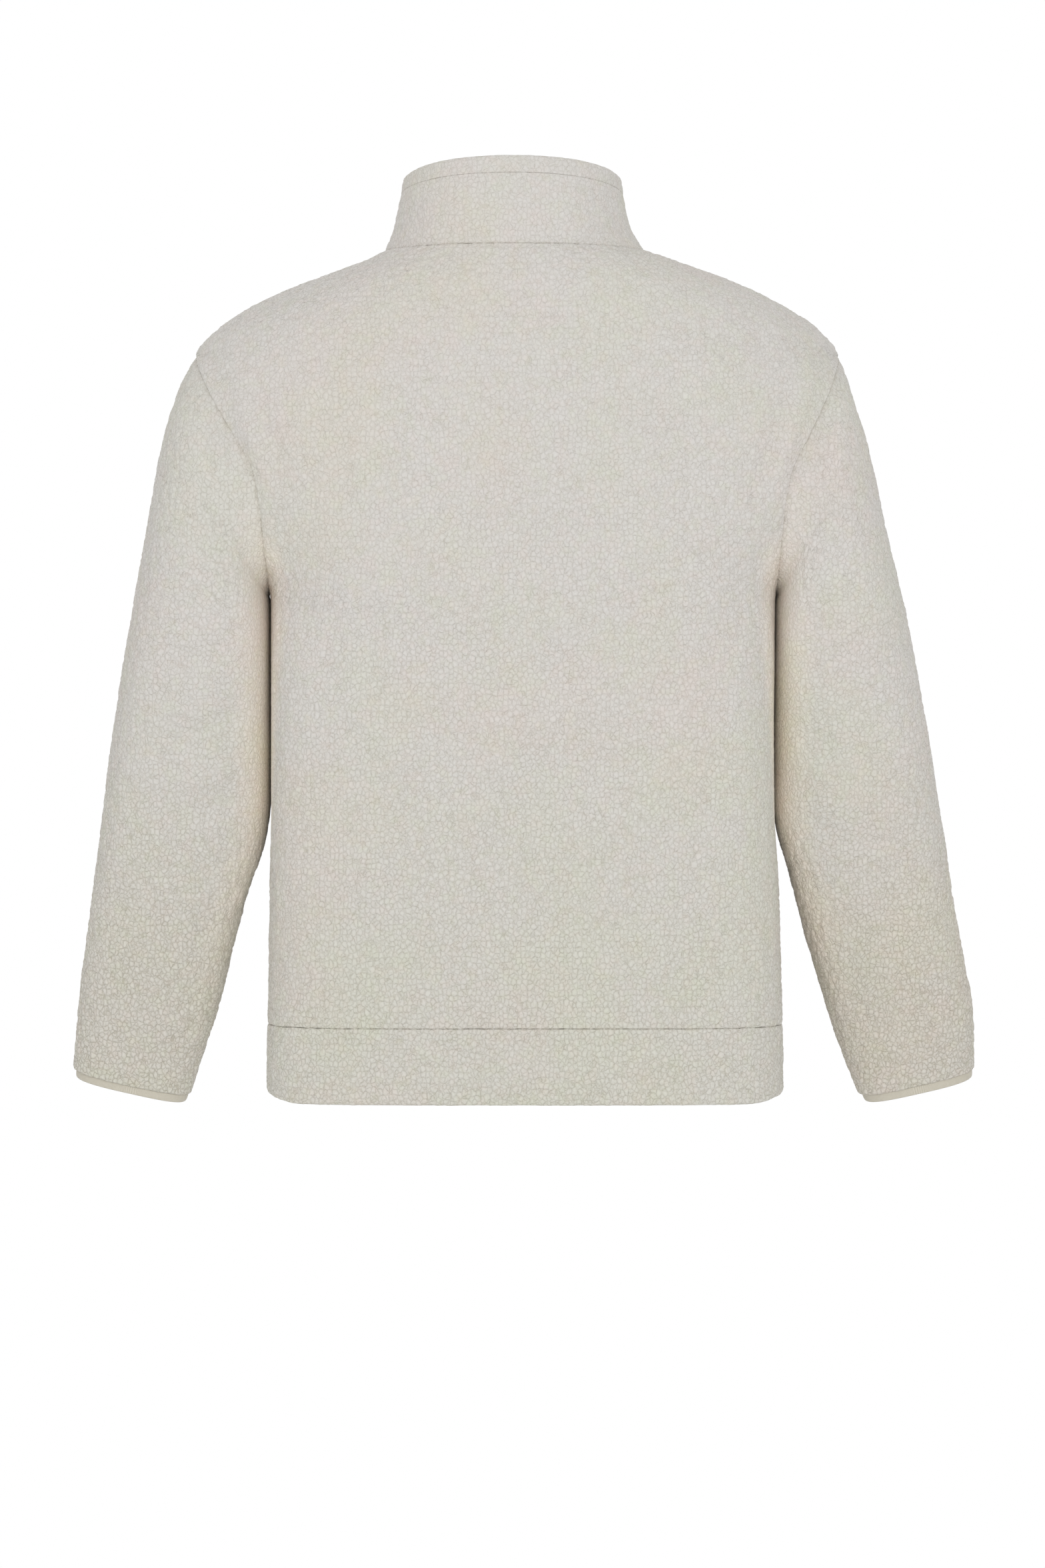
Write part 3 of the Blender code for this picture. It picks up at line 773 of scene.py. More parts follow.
@dataclass(frozen=True)
class PileFinish:
    """Curly, undyed, matt pile on a knit backing."""

    name: str = "pile_fleece"
    # painted shade: the pile is darker in the gaps between its nubs
    gap: Colour = (0.520, 0.492, 0.440, 1)
    body: Colour = (0.650, 0.625, 0.590, 1)
    tip: Colour = (0.690, 0.670, 0.643, 1)
    rosy: Colour = (1.014, 0.990, 0.985, 1)
    mossy: Colour = (0.990, 1.004, 0.968, 1)
    # painted shade: the lower part a little darker and warmer
    lower_painted_shade: Colour = (0.974, 0.981, 0.940, 1)
    seam_shade: Colour = (0.36, 0.325, 0.255, 1)
    # painted shade: the forearms a little darker
    forearm_painted_shade: Colour = (0.975, 0.965, 0.956, 1)
    # painted light, lighter and warmer, in the creases beside the body and faintly on the forearms
    painted_crease_light: Colour = (1.435, 1.34, 1.235, 1)  # painted warm light, times the pile's own colour
    backing: Colour = (0.560, 0.535, 0.480, 1)
    nub: float = 0.0038
    gap_share: float = 0.28
    curl: float = 0.0042
    fibre: float = 0.0010
    wander: float = 0.0030
    wander_reach: float = 0.0028
    relief: float = 0.0013
    strength: float = 0.60
    level: float = 0.74  # the pile's mean height, from 0 to 1
    forearm_clearer: float = 0.35
    roughness: float = 0.95
    specular: float = 0.12
    sheen: float = 0.2
    sheen_roughness: float = 0.6
    sheen_tint: Colour = (1.0, 0.98, 0.94, 1)

    STRETCH = (1, 1, 0.84)  # the pattern's nubs are slightly taller than wide
    FOREARM_ASIDE = (0.225, 0.29)  # distances from the middle over which the forearm's painted shade and clearer pattern set in
    FOREARM_DOWN = (-0.62, -0.42)  # heights over which the forearm's painted shade and clearer pattern set in, all of them at the lower
    CLEARER_DOWN = (-0.70, -0.05, 1.35, 0.90)  # the pattern's contrast near the hem and the neck
    LOW_DOWN = (-0.70, -0.30)  # heights over which the painted shade of the lower part sets in
    GAP_UP_TO, TIP_FROM = 0.05, 0.95  # heights of the pile with the gaps' painted shade and the tips' colour
    NUB_SHARE, CURL_SHARE, FIBRE_SHARE = 0.56, 0.20, 0.24
    CURL_WIDTH = 0.055
    SEAM_BREAKS = 0.005

    def material(self) -> bpy.types.Material:
        """Makes the finish.

        Returns:
            The material.
        """
        tree = Tree(self.name)
        place = tree.add("TexCoord").outputs["Object"]
        apart = tree.add("SeparateXYZ")
        tree.join(place, apart.inputs[0])
        lifted = apart.outputs["Z"]
        aside = tree.ranged(
            tree.sum_up("ABSOLUTE", apart.outputs["X"]), *self.FOREARM_ASIDE, 0, 1
        )
        forearm = tree.sum_up("MULTIPLY", aside, tree.ranged(lifted, *self.FOREARM_DOWN, 1, 0))
        clear = tree.ranged(lifted, *self.CLEARER_DOWN)
        clear = tree.mixed(clear, 1.0, forearm, self.forearm_clearer)
        height = self.pile_height(tree, place, clear)
        inside = tree.mark("inside")
        # The pile's height picks its colour, with painted shade in the gaps between nubs.
        ramp = tree.add("ValToRGB")
        low, high = ramp.color_ramp.elements
        low.position, low.color = self.GAP_UP_TO, self.gap
        high.position, high.color = self.TIP_FROM, self.tip
        ramp.color_ramp.elements.new(0.50).color = self.body
        tree.join(tree.mixed(height, 0.8, tree.mark("pile"), 0.2), ramp.inputs["Fac"])
        colour = self.tinted(tree, place, ramp.outputs["Color"])
        # Painted shade low down and on the forearms, and painted warm light in the creases beside
        # the body.
        for share, tint in (
            (tree.ranged(lifted, *self.LOW_DOWN, 1, 0), self.lower_painted_shade),
            (forearm, self.forearm_painted_shade),
            (tree.mark("shade"), self.painted_crease_light),
        ):
            colour = tree.blend(share, colour, tint, "MULTIPLY")
        broken = tree.ranged(tree.noise(place, self.SEAM_BREAKS), 0.38, 0.6, 0.15, 1)
        seam = tree.sum_up("MULTIPLY", tree.mark("seam"), broken)
        colour = tree.blend(seam, colour, self.seam_shade)
        colour = tree.blend(inside, colour, self.backing_colour(tree, place))
        rough = tree.sum_up("MULTIPLY", height, tree.sum_up("SUBTRACT", 1.0, inside))
        tree.relieve(rough, self.strength, self.relief)
        tree.put(
            tree.shader,
            {
                "Base Color": colour,
                "Roughness": self.roughness,
                "Specular IOR Level": self.specular,
                "Sheen Weight": self.sheen,
                "Sheen Roughness": self.sheen_roughness,
                "Sheen Tint": self.sheen_tint,
            },
        )
        return tree.material

    def tinted(self, tree: Tree, place: object, colour: object) -> bpy.types.NodeSocket:
        """The pile's colour with faint rosy and mossy patches, small ones and wide ones.

        Args:
            tree: the material's nodes.
            place: the place on the cloth.
            colour: the pile's even colour.

        Returns:
            The uneven colour's socket.
        """
        for tint, size, low in (
            (self.rosy, 0.011, 0.48),
            (self.mossy, 0.013, 0.50),
            (self.mossy, 0.090, 0.46),
            (self.rosy, 0.120, 0.50),
        ):
            moved = tree.add("VectorMath", operation="ADD")
            tree.put(moved, {0: place, 1: (size * 40, 0.3, size * 90)})
            patch = tree.ranged(tree.noise(moved.outputs[0], size), low, low + 0.16, 0, 1)
            colour = tree.blend(patch, colour, tint, "MULTIPLY")
        return colour

    def pile_height(self, tree: Tree, place: object, clear: object) -> bpy.types.NodeSocket:
        """Height of nubs and curls with narrow winding gaps between them, and of their fibres.

        Args:
            tree: the material's nodes.
            place: the place on the cloth.
            clear: how clear the pattern is; 1 leaves it as it is.

        Returns:
            Height, mostly from 0 to 1.
        """
        turned = tree.put(tree.add("Mapping"), {"Vector": place, "Scale": self.STRETCH})
        where = turned.outputs["Vector"]
        wander = tree.put(tree.add("TexNoise"), {"Vector": where, "Scale": 1 / self.wander})
        centred = tree.add("VectorMath", operation="SUBTRACT")
        tree.put(centred, {0: wander.outputs["Color"], 1: (0.5, 0.5, 0.5)})
        small = tree.add("VectorMath", operation="SCALE")
        tree.put(small, {0: centred.outputs[0], "Scale": self.wander_reach})
        moved = tree.add("VectorMath", operation="ADD")
        tree.put(moved, {0: where, 1: small.outputs[0]})
        cells = tree.add("TexVoronoi", feature="DISTANCE_TO_EDGE")
        tree.put(cells, {"Vector": moved.outputs[0], "Scale": 1 / self.nub, "Randomness": 0.85})
        apart = tree.ranged(cells.outputs["Distance"], 0.0, self.gap_share, 0, 1)
        nubs = tree.sum_up("POWER", apart, 0.6)
        winding = tree.sum_up("SUBTRACT", tree.noise(where, self.curl, 1.0), 0.5)
        curls = tree.ranged(tree.sum_up("ABSOLUTE", winding), 0.0, self.CURL_WIDTH, 0, 1)
        curly = tree.mixed(nubs, self.NUB_SHARE, curls, self.CURL_SHARE)
        fibres = tree.noise(where, self.fibre, 1.0)
        height = tree.mixed(curly, 1.0, fibres, self.FIBRE_SHARE)
        height = tree.sum_up("SUBTRACT", height, self.level)
        return tree.sum_up("ADD", tree.sum_up("MULTIPLY", height, clear), self.level)

    def backing_colour(self, tree: Tree, place: object) -> bpy.types.NodeSocket:
        """The knit side of the cloth, slightly uneven.

        Args:
            tree: the material's nodes.
            place: the place on the cloth.

        Returns:
            The colour's socket.
        """
        uneven = tree.ranged(tree.noise(place, 0.003), 0.3, 0.7, 0.9, 1.06)
        grey = tree.add("CombineColor")
        for channel in grey.inputs:
            tree.join(uneven, channel)
        return tree.blend(1.0, self.backing, grey.outputs[0], "MULTIPLY")


@dataclass(frozen=True)
class KnitFinish:
    """Smooth flat knit tape, with fine wales round it."""

    name: str = "binding_knit"
    thread: Colour = (0.620, 0.585, 0.495, 1)
    shade: Colour = (0.510, 0.470, 0.380, 1)
    wale: float = 0.0011
    strength: float = 0.4
    relief: float = 0.0003
    roughness: float = 0.82
    sheen: float = 0.15

    def material(self) -> bpy.types.Material:
        """Makes the finish.

        Returns:
            The material.
        """
        tree = Tree(self.name)
        around = tree.add("UVMap", uv_map="cloth").outputs["UV"]
        place = tree.add("TexCoord").outputs["Object"]
        wave = tree.add("TexWave", wave_type="BANDS", bands_direction="X")
        turns = math.pi / 10 / self.wale
        tree.put(wave, {"Vector": around, "Scale": turns, "Distortion": 0.6})
        wales = wave.outputs["Fac"]
        uneven = tree.noise(place, 0.0022)
        share = tree.sum_up("MULTIPLY", tree.sum_up("ADD", wales, uneven), 0.5)
        colour = tree.blend(tree.ranged(share, 0.2, 0.65, 0, 1), self.shade, self.thread)
        tree.relieve(share, self.strength, self.relief)
        surface = {"Base Color": colour, "Roughness": self.roughness, "Sheen Weight": self.sheen}
        tree.put(tree.shader, surface)
        return tree.material


def fold_shift(
    points: np.ndarray, folds: Sequence[Fold], face: np.ndarray, side: Side | None
) -> np.ndarray:
    """How far the folds move each point out of the surface.

    Args:
        points: places on the cloth.
        folds: the folds to add.
        face: the sign of y that each point faces.
        side: only the folds of this side, or all of them.

    Returns:
        Metres outwards, one for each point.
    """
    shift = np.zeros(points.shape[:-1])
    for fold in folds:
        if side not in (None, fold.side):
            continue
        sign = fold.side.value
        start = np.array([sign * fold.start[0], fold.start[1]])
        run = np.array([sign * fold.end[0], fold.end[1]]) - start
        flat = points[..., [0, 2]] - start
        share = np.clip(flat @ run / (run @ run), 0, 1)
        away = np.linalg.norm(flat - share[..., None] * run, axis=-1)
        swell = FOLD_ENDS + (1 - FOLD_ENDS) * np.sin(math.pi * share)
        soft = np.exp(-((away / fold.width) ** 2)) * swell
        shift += np.where(face == fold.face.value, fold.depth * soft, 0)
    return shift


@dataclass
class Trunk:
    """Back, front and the two hem bands, worked out together."""

    finish: bpy.types.Material
    armpit: float = -0.2850
    shoulder_tip: float = -0.0880
    reach: dict[Face, float] = field(default_factory=lambda: {Face.BACK: 0.086, Face.FRONT: 0.083})
    reach_power: float = 0.9
    neck_rise: float = 0.003
    neck_blend: float = 0.05
    drop_power: float = 1.6
    bow_power: float = 3.0
    # share of painted warm crease light on the trunk's side beside a sleeve
    crease_shade: float = 0.5
    corner_rise: float = 0.006
    corner_start: float = 0.86
    pitch: float = 0.0025
    ring_length: float = 0.560
    table: SmoothTable = field(default_factory=lambda: SmoothTable(TRUNK_ROWS, "z"))

    ARC_SAMPLES = 801
    SOFTENING = 18  # rings on either side
    SOFT_FROM_ENDS, SOFT_FROM_SIDES = (0.3, 1.0), (0.01, 0.10)
    FINE_STEPS = 2000
    CALM_SHARE = 0.03  # of the ring, beside the side seams, without folds
    SWELL_HEIGHT, SWELL_SIZE = 0.0011, 0.085
    SWELL_BELOW_NECK = (0.0, 0.05)
    PRESSED_DEPTH = (0.035, 0.075)
    PRESSED_BOTTOM, PRESSED_TOP, PRESSED_FROM = (-0.530, -0.470), (-0.300, -0.270), 0.17
    SHADE_BOTTOM, SHADE_TOP, SHADE_SIDE = (-0.500, -0.460), (-0.270, -0.220), (0.190, 0.209)
    SLEEVE_COVER = ((0.30, 0.36, 0.42, 0.48), (0.087, 0.080, 0.069, 0.060))  # how deep, by -z
    COVER_FADE = (-0.014, 0.002)

    def armhole_reach(self, z: np.ndarray, face: Face) -> np.ndarray:
        """How far behind or before the arm the armhole seam lies at each height."""
        share = np.clip((self.shoulder_tip - z) / (self.shoulder_tip - self.armpit), 0, 1)
        return self.reach[face] * np.sqrt(1 - (1 - 2 * share) ** 2) ** self.reach_power

    def sizes(self, z: np.ndarray, face: Face) -> tuple[np.ndarray, ...]:
        """Sizes of the level sections at some heights.

        Args:
            z: heights.
            face: back or front.

        Returns:
            Centre, half width to the edge, half width of the full section, depth and power.
        """
        centre, half, power = (self.table.at(key, z) for key in ("centre", "half_width", "power"))
        deep = self.table.at(face.name.lower(), z)
        edge = self.armhole_reach(np.asarray(z), face)
        return centre, half, half / (1 - (edge / deep) ** power) ** (1 / power), deep, power

    def ring(self, z: float, face: Face, shares: np.ndarray) -> np.ndarray:
        """Points of one ring on one face, from the left seam to the right one.

        Args:
            z: the ring's height at its seams.
            face: back or front.
            shares: places along the ring, 0 to 1.

        Returns:
            One point for each share.
        """
        _, half, full, deep, power = (float(v) for v in self.sizes(np.array(z), face))
        last = math.asin(min(half / full, 1.0))
        across = np.sin(np.linspace(-last, last, self.ARC_SAMPLES))
        depth = np.clip(1 - np.abs(across) ** power, 0, 1) ** (1 / power)
        steps = np.hypot(np.diff(across * full), np.diff(depth * deep))
        along = np.concatenate([[0], np.cumsum(steps)])
        across = np.interp(shares * along[-1], along, across)
        away = 1 - np.abs(2 * shares - 1) ** self.bow_power
        height = z + self.table.at("bow", z) * away
        centre, half, full, deep, power = self.sizes(height, face)
        out = np.clip(1 - np.abs(across) ** power, 0, 1) ** (1 / power)
        if face is Face.BACK:
            lift = self.neck_rise * out * np.clip(1 + height / self.neck_blend, 0, 1)
        else:
            lift = -self.table.at("front_drop", height) * out**self.drop_power
        corner = np.clip((np.abs(across) - self.corner_start) / (1 - self.corner_start), 0, 1) ** 2
        near_hem = np.clip((HEM_SEAM - z) / (HEM_SEAM - HEM_BOTTOM), 0, 1) ** 2
        lift = lift + self.corner_rise * corner * near_hem
        return np.stack([centre + full * across, face.value * deep * out, height + lift], axis=1)

    def heights(self) -> np.ndarray:
        """Heights of the panels' rings from the hem seam to the neck, even along the cloth.

        Returns:
            The heights, from the lowest up.
        """
        fine = np.linspace(HEM_SEAM, 0, self.FINE_STEPS + 1)
        half_width = self.table.at("half_width", fine)
        edge = np.stack([half_width, self.armhole_reach(fine, Face.BACK), fine])
        seam_steps = np.linalg.norm(np.diff(edge, axis=1), axis=0)
        middle_steps = np.diff(fine + self.table.at("bow", fine))
        along = np.concatenate([[0], np.cumsum(np.maximum(seam_steps, middle_steps))])
        return np.interp(fine_edged(along[-1], self.pitch), along, fine)

    def panel(self, face: Face, heights: np.ndarray) -> np.ndarray:
        """One face between some heights, with its folds and soft swells.

        Args:
            face: back or front.
            heights: heights of its rings.

        Returns:
            Places, rings by columns.
        """
        shares = fine_edged(self.ring_length, self.pitch) / self.ring_length
        grid = np.array([self.ring(z, face, shares) for z in heights])
        if len(grid) > self.SOFTENING * 4:
            grid = self.softened(grid, shares)
        normal = grid_normals(grid, closed=False)
        facing = np.full(grid.shape[:2], face.value)
        calm = np.clip(np.minimum(shares, 1 - shares) / self.CALM_SHARE, 0, 1)
        swell = self.SWELL_HEIGHT * ClothNoise(5).soft(grid, self.SWELL_SIZE)
        shift = fold_shift(grid, TRUNK_FOLDS, facing, None) * calm
        shift += swell * calm * smooth_step(-grid[..., 2], *self.SWELL_BELOW_NECK)
        return grid + shift[..., None] * normal

    def softened(self, grid: np.ndarray, shares: np.ndarray) -> np.ndarray:
        """Eases away the ridges across a panel level with the armholes' ends.

        Args:
            grid: rings by columns of points.
            shares: places of the columns along their rings, 0 to 1.

        Returns:
            The eased grid, unchanged along all its edges.
        """
        rings, reach = np.arange(len(grid)), self.SOFTENING
        total = np.zeros_like(grid)
        weights = np.hanning(2 * reach + 3)[1:-1]
        for step, weight in zip(range(-reach, reach + 1), weights / weights.sum()):
            total += weight * grid[np.clip(rings + step, 0, len(grid) - 1)]
        from_ends = np.minimum(rings, rings[::-1]) / (2 * reach)
        inside = smooth_step(from_ends, *self.SOFT_FROM_ENDS)[:, None]
        inside = inside * smooth_step(np.minimum(shares, 1 - shares), *self.SOFT_FROM_SIDES)
        return grid + inside[..., None] * (total - grid)

    def pressed(self, grid: np.ndarray) -> np.ndarray:
        """1 where a sleeve lies against the trunk's side, fading out round it."""
        x, y, z = np.moveaxis(grid, -1, 0)
        band = smooth_step(z, *self.PRESSED_BOTTOM) * (1 - smooth_step(z, *self.PRESSED_TOP))
        near = 1 - smooth_step(np.abs(y), *self.PRESSED_DEPTH)
        return near * band * (np.abs(x) > self.PRESSED_FROM)

    def shade(self, grid: np.ndarray) -> np.ndarray:
        """How much painted warm crease light each point takes, by how deep it lies in the crease
        beside a sleeve.

        Args:
            grid: places on a panel.

        Returns:
            A number from 0 to 1 for each.
        """
        x, y, z = np.moveaxis(grid, -1, 0)
        band = smooth_step(z, *self.SHADE_BOTTOM) * (1 - smooth_step(z, *self.SHADE_TOP))
        hidden = np.interp(-z, *self.SLEEVE_COVER)
        beside = 1 - smooth_step(np.abs(y) - hidden, *self.COVER_FADE)
        beside *= behind(grid) * smooth_step(np.abs(x), *self.SHADE_SIDE)
        return self.crease_shade * band * beside

    def build(self) -> None:
        """Makes both panels and both hem bands."""
        upper = self.heights()
        lower = HEM_BOTTOM + fine_edged(HEM_SEAM - HEM_BOTTOM, self.pitch)
        for face, area, seed in ((Face.BACK, 0.354, 11), (Face.FRONT, 0.346, 12)):
            word = face.name.lower()
            grid = self.panel(face, upper)
            surface = PileSurface(
                grid,
                False,
                Edge.SEAM,
                Edge.SEAM,
                pressed=self.pressed(grid),
                shade=self.shade(grid),
                seed=seed,
            )
            cut = Cut(f"fleece_{word}", f"{word}_panel", "pile_fleece", (0.60, 0.68), area)
            ClothShell(cut, self.finish).wrap(surface)
            band = self.panel(face, lower)
            surface = PileSurface(band, False, Edge.RIM, Edge.SEAM, Edge.SIDE_SEAM, seed=seed + 2)
            cut = Cut(
                f"fleece_hem_{word}",
                f"hem_band_{word}",
                "pile_fleece",
                (0.562, 0.0634),
                0.0355,
                sewn_to=(f"fleece_{word}",),
            )
            ClothShell(cut, self.finish).wrap(surface)


@dataclass
class Sleeve:
    """One sleeve and the knit binding of its cuff."""

    side: Side
    trunk: Trunk
    finish: bpy.types.Material
    binding_finish: bpy.types.Material
    columns: int = 216
    pitch: float = 0.0023
    outer_power: float = 3.0
    roll_power: float = 0.9  # the soft roll of cloth that fills out the crease at the back
    clear: float = 0.0011  # between the sleeve and the side of the body
    binding_inset: float = 0.0012
    binding_height: float = 0.0075
    binding_wall: float = 0.0022
    binding_round: float = 0.0011  # how far its lower edge turns in
    binding_turns: int = 12  # rings over its height
    # painted warm crease light along the sleeve's inner side, and a little of it on the forearm
    shade_width: float = 0.034
    shade_power: float = 1.3
    forearm_shade: float = 0.06
    table: SmoothTable = field(default_factory=lambda: SmoothTable(SLEEVE_ROWS, "index"))

    SHADE_DEPTH = ((0.19, 0.26, 0.36, 0.47, 0.58, 0.70), (0.0, 0.45, 0.75, 1.0, 0.6, 0.4))
    FOREARM = (0.44, 0.60)
    FINE_STEPS = 12  # between two rows of the table
    PRESSED_SIDE, PRESSED_BOTTOM, PRESSED_DEPTH = (0.220, 0.245), (-0.520, -0.470), 0.08
    ROLL_BELOW = (0.29, 0.33)
    SWELL_HEIGHT, SWELL_SIZE = 0.0012, 0.07
    CALM_RINGS = 12  # from the armhole, before the folds have their full depth

    def armhole(self) -> np.ndarray:
        """The armhole seam as a loop: down the back, then up the front.

        Returns:
            Its places, one for each column.
        """
        trunk, points = self.trunk, []
        for k in range(self.columns):
            turn = 2 * math.pi * k / self.columns
            face = Face.BACK if turn <= math.pi else Face.FRONT
            z = trunk.shoulder_tip + (trunk.armpit - trunk.shoulder_tip) * (1 - math.cos(turn)) / 2
            ends = trunk.ring(z, face, np.array([0.0, 1.0]))
            points.append(ends[0 if self.side is Side.LEFT else 1])
        return np.array(points)

    def ring(self, station: float) -> np.ndarray:
        """One ring at a station counted in rows of the sleeves' table.

        Args:
            station: where it is, 0 at the first row; fractions lie between rows.

        Returns:
            Its places, one for each column.
        """
        value = {key: float(self.table.at(key, station)) for key in SleeveRow.__dataclass_fields__}
        nearby = np.array([station - 0.5, station + 0.5])
        ahead = np.diff(self.table.at("forward", nearby))[0]
        lower = -np.diff(self.table.at("outer_z", nearby))[0]
        tilt = ahead / max(lower, 1e-6)
        word, sign = self.side.name.lower(), self.side.value
        body = self.trunk.table.at("half_width", value["inner_z"])
        body = float(body + sign * self.trunk.table.at("centre", value["inner_z"]))
        inner_x = max(value[word + "_inner"], body + self.clear)
        outer = np.array([sign * value[word + "_outer"], 0, value["outer_z"]])
        inner = np.array([sign * inner_x, 0, value["inner_z"]])
        turn = 2 * math.pi * np.arange(self.columns) / self.columns
        cosine, sine = np.cos(turn), np.sin(turn)
        power = np.where(cosine < 0, value["inner_power"], self.outer_power)
        roll = self.roll_power * smooth_step(-value["inner_z"], *self.ROLL_BELOW)
        power = power + roll * (cosine < 0) * (sine > 0)
        across = np.sign(cosine) * np.abs(cosine) ** (2 / power)
        deep = np.sign(sine) * np.abs(sine) ** (2 / power)
        ring = (outer + inner) / 2 + np.outer(across, (outer - inner) / 2)
        ring[:, 1] += value["forward"] - value["half_depth"] * deep
        ring[:, 2] -= tilt * value["half_depth"] * deep
        return ring

    def grid(self) -> np.ndarray:
        """Rings from the armhole seam to the cuff, even along the arm.

        Returns:
            Places, rings by columns.
        """
        rows = len(SLEEVE_ROWS)
        key_rings = np.array([self.armhole()] + [self.ring(s) for s in range(rows)])
        fine = np.linspace(0, rows, self.FINE_STEPS * rows + 1)
        rings = smooth_rings(key_rings, fine)
        middle = rings[:, 0]
        steps = np.linalg.norm(np.diff(middle, axis=0), axis=1)
        along = np.concatenate([[0], np.cumsum(steps)])
        places = np.interp(fine_edged(along[-1], self.pitch), along, fine)
        return smooth_rings(key_rings, places)

    def build(self) -> None:
        """Makes the sleeve and its binding."""
        grid = self.grid()
        word = self.side.name.lower()
        normal = grid_normals(grid, closed=True)
        middle = grid.mean(axis=1)[:, 1]
        facing = np.where(grid[..., 1] > middle[:, None], 1, -1)
        shift = fold_shift(grid, SLEEVE_FOLDS, facing, self.side)
        shift += self.SWELL_HEIGHT * ClothNoise(9 + self.side.value).soft(grid, self.SWELL_SIZE)
        edge = smooth_step(np.arange(len(grid)), 0, self.CALM_RINGS)[:, None]
        shift *= edge * (1 - 0.8 * self.pressed(grid))
        folded = grid + shift[..., None] * normal
        surface = PileSurface(
            folded,
            True,
            Edge.ARMHOLE,
            Edge.CUFF,
            pressed=self.pressed(grid),
            shade=self.shade(grid),
            seed=21 + self.side.value,
        )
        cut = Cut(
            f"fleece_sleeve_{word}",
            f"sleeve_{word}",
            "pile_fleece",
            (0.53, 0.61),
            0.196,
            sewn_to=("fleece_back", "fleece_front"),
        )
        ClothShell(cut, self.finish).wrap(surface)
        self.build_binding(grid, normal)

    def pressed(self, grid: np.ndarray) -> np.ndarray:
        """1 where the sleeve lies against the trunk, fading out round it."""
        x, y, z = np.moveaxis(grid, -1, 0)
        near = 1 - smooth_step(np.abs(x), *self.PRESSED_SIDE)
        return near * smooth_step(z, *self.PRESSED_BOTTOM) * (np.abs(y) < self.PRESSED_DEPTH)

    def shade(self, grid: np.ndarray) -> np.ndarray:
        """How much painted warm crease light each point takes: deep in the shade beside the body,
        and a little on the forearm.

        Args:
            grid: places on the sleeve.

        Returns:
            A number from 0 to 1 for each.
        """
        x, z = np.abs(grid[..., 0]), grid[..., 2]
        inner = x.min(axis=1)[:, None]
        near = np.clip(1 - (x - inner) / self.shade_width, 0, 1) ** self.shade_power
        depth = np.interp(-z, *self.SHADE_DEPTH) * behind(grid)
        forearm = self.forearm_shade * smooth_step(-z, *self.FOREARM)
        return np.clip(near * depth + forearm, 0, 1)

    def build_binding(self, grid: np.ndarray, normal: np.ndarray) -> None:
        """Makes the knit binding, a narrow rounded ring below the sleeve's edge.

        Args:
            grid: the sleeve's places, rings by columns.
            normal: its outward normals.
        """
        along = unit(grid[-1] - grid[-2])
        top = grid[-1] - self.binding_inset * normal[-1] + SEAM_HALF_GAP * along
        share = np.linspace(0, 1, self.binding_turns + 1)[:, None, None]
        rounded = self.binding_round * (1 - np.sqrt(1 - share**6))
        outer = top + self.binding_height * share * along - rounded * normal[-1]
        inward, down = normal[-1, ::INNER_STEP], along[::INNER_STEP]
        inner = outer[::INNER_STEP, ::INNER_STEP] - self.binding_wall * inward
        inner[-1] += 0.0018 * inward - 0.0002 * down
        word = self.side.name.lower()
        cut = Cut(
            f"knit_binding_{word}",
            f"cuff_binding_{word}",
            "binding_knit",
            (0.255, 0.0105),
            0.00265,
            held=Hold.STRETCHED,
            sewn_to=(f"fleece_sleeve_{word}",),
        )
        ClothShell(cut, self.binding_finish).build(outer, inner, True, {})


def smooth_rings(rings: np.ndarray, places: np.ndarray) -> np.ndarray:
    """Rings on smooth curves through some key rings.

    Args:
        rings: the key rings, rings by columns of points.
        places: where the new rings lie, counted in key rings.

    Returns:
        One ring for each place.
    """
    slope = np.gradient(rings, axis=0)
    k = np.clip(np.floor(places).astype(int), 0, len(rings) - 2)
    t = (places - k)[:, None, None]
    return hermite(rings[k], rings[k + 1], slope[k], slope[k + 1], t)


@dataclass
class Collar:
    """The stand collar and its narrow top band."""

    finish: bpy.types.Material
    columns: int = 330
    pitch: float = 0.0018
    rise_power: float = 1.2
    drop_power: float = 1.6
    height: float = 0.0745
    nub_height: float = 0.0010
    table: SmoothTable = field(default_factory=lambda: SmoothTable(COLLAR_ROWS, "share"))

    def ring(self, share: float) -> np.ndarray:
        """One ring, starting at the middle of the back and going left.

        Args:
            share: how far up the collar it is, from 0 to 1.

        Returns:
            Its places, one for each column.
        """
        value = {key: float(self.table.at(key, share)) for key in CollarRow.__dataclass_fields__}
        turn = 2 * math.pi * np.arange(self.columns) / self.columns
        power = 2 / value["power"]
        across = -np.sign(np.sin(turn)) * np.abs(np.sin(turn)) ** power
        back = np.clip(np.cos(turn), 0, 1) ** power
        front = np.clip(-np.cos(turn), 0, 1) ** power
        x = value["centre"] + value["half_width"] * across
        y = value["front"] * front - value["back"] * back
        z = (
            value["side_z"]
            + (value["back_z"] - value["side_z"]) * back**self.rise_power
            + (value["front_z"] - value["side_z"]) * front**self.drop_power
        )
        return np.stack([x, y, z], axis=1)

    def build(self) -> None:
        """Makes the collar and its band."""
        seam = COLLAR_BAND_SHARE
        collar = Cut("fleece_collar", "collar", "pile_fleece", (0.60, 0.066), 0.0340)
        band = replace(
            collar,
            piece="fleece_collar_band",
            node="collar_top_band",
            flat=(0.575, 0.0135),
            area=0.0076,
            sewn_to=("fleece_collar",),
        )
        for cut, low, high, lower, upper in (
            (collar, 0.0, seam, Edge.SEAM, Edge.FAINT_SEAM),
            (band, seam, 1.0, Edge.FAINT_SEAM, Edge.RIM),
        ):
            places = fine_edged((high - low) * self.height, self.pitch) / self.height + low
            grid = np.array([self.ring(share) for share in places])
            surface = PileSurface(grid, True, lower, upper, seed=31, nub_height=self.nub_height)
            ClothShell(cut, self.finish).wrap(surface)


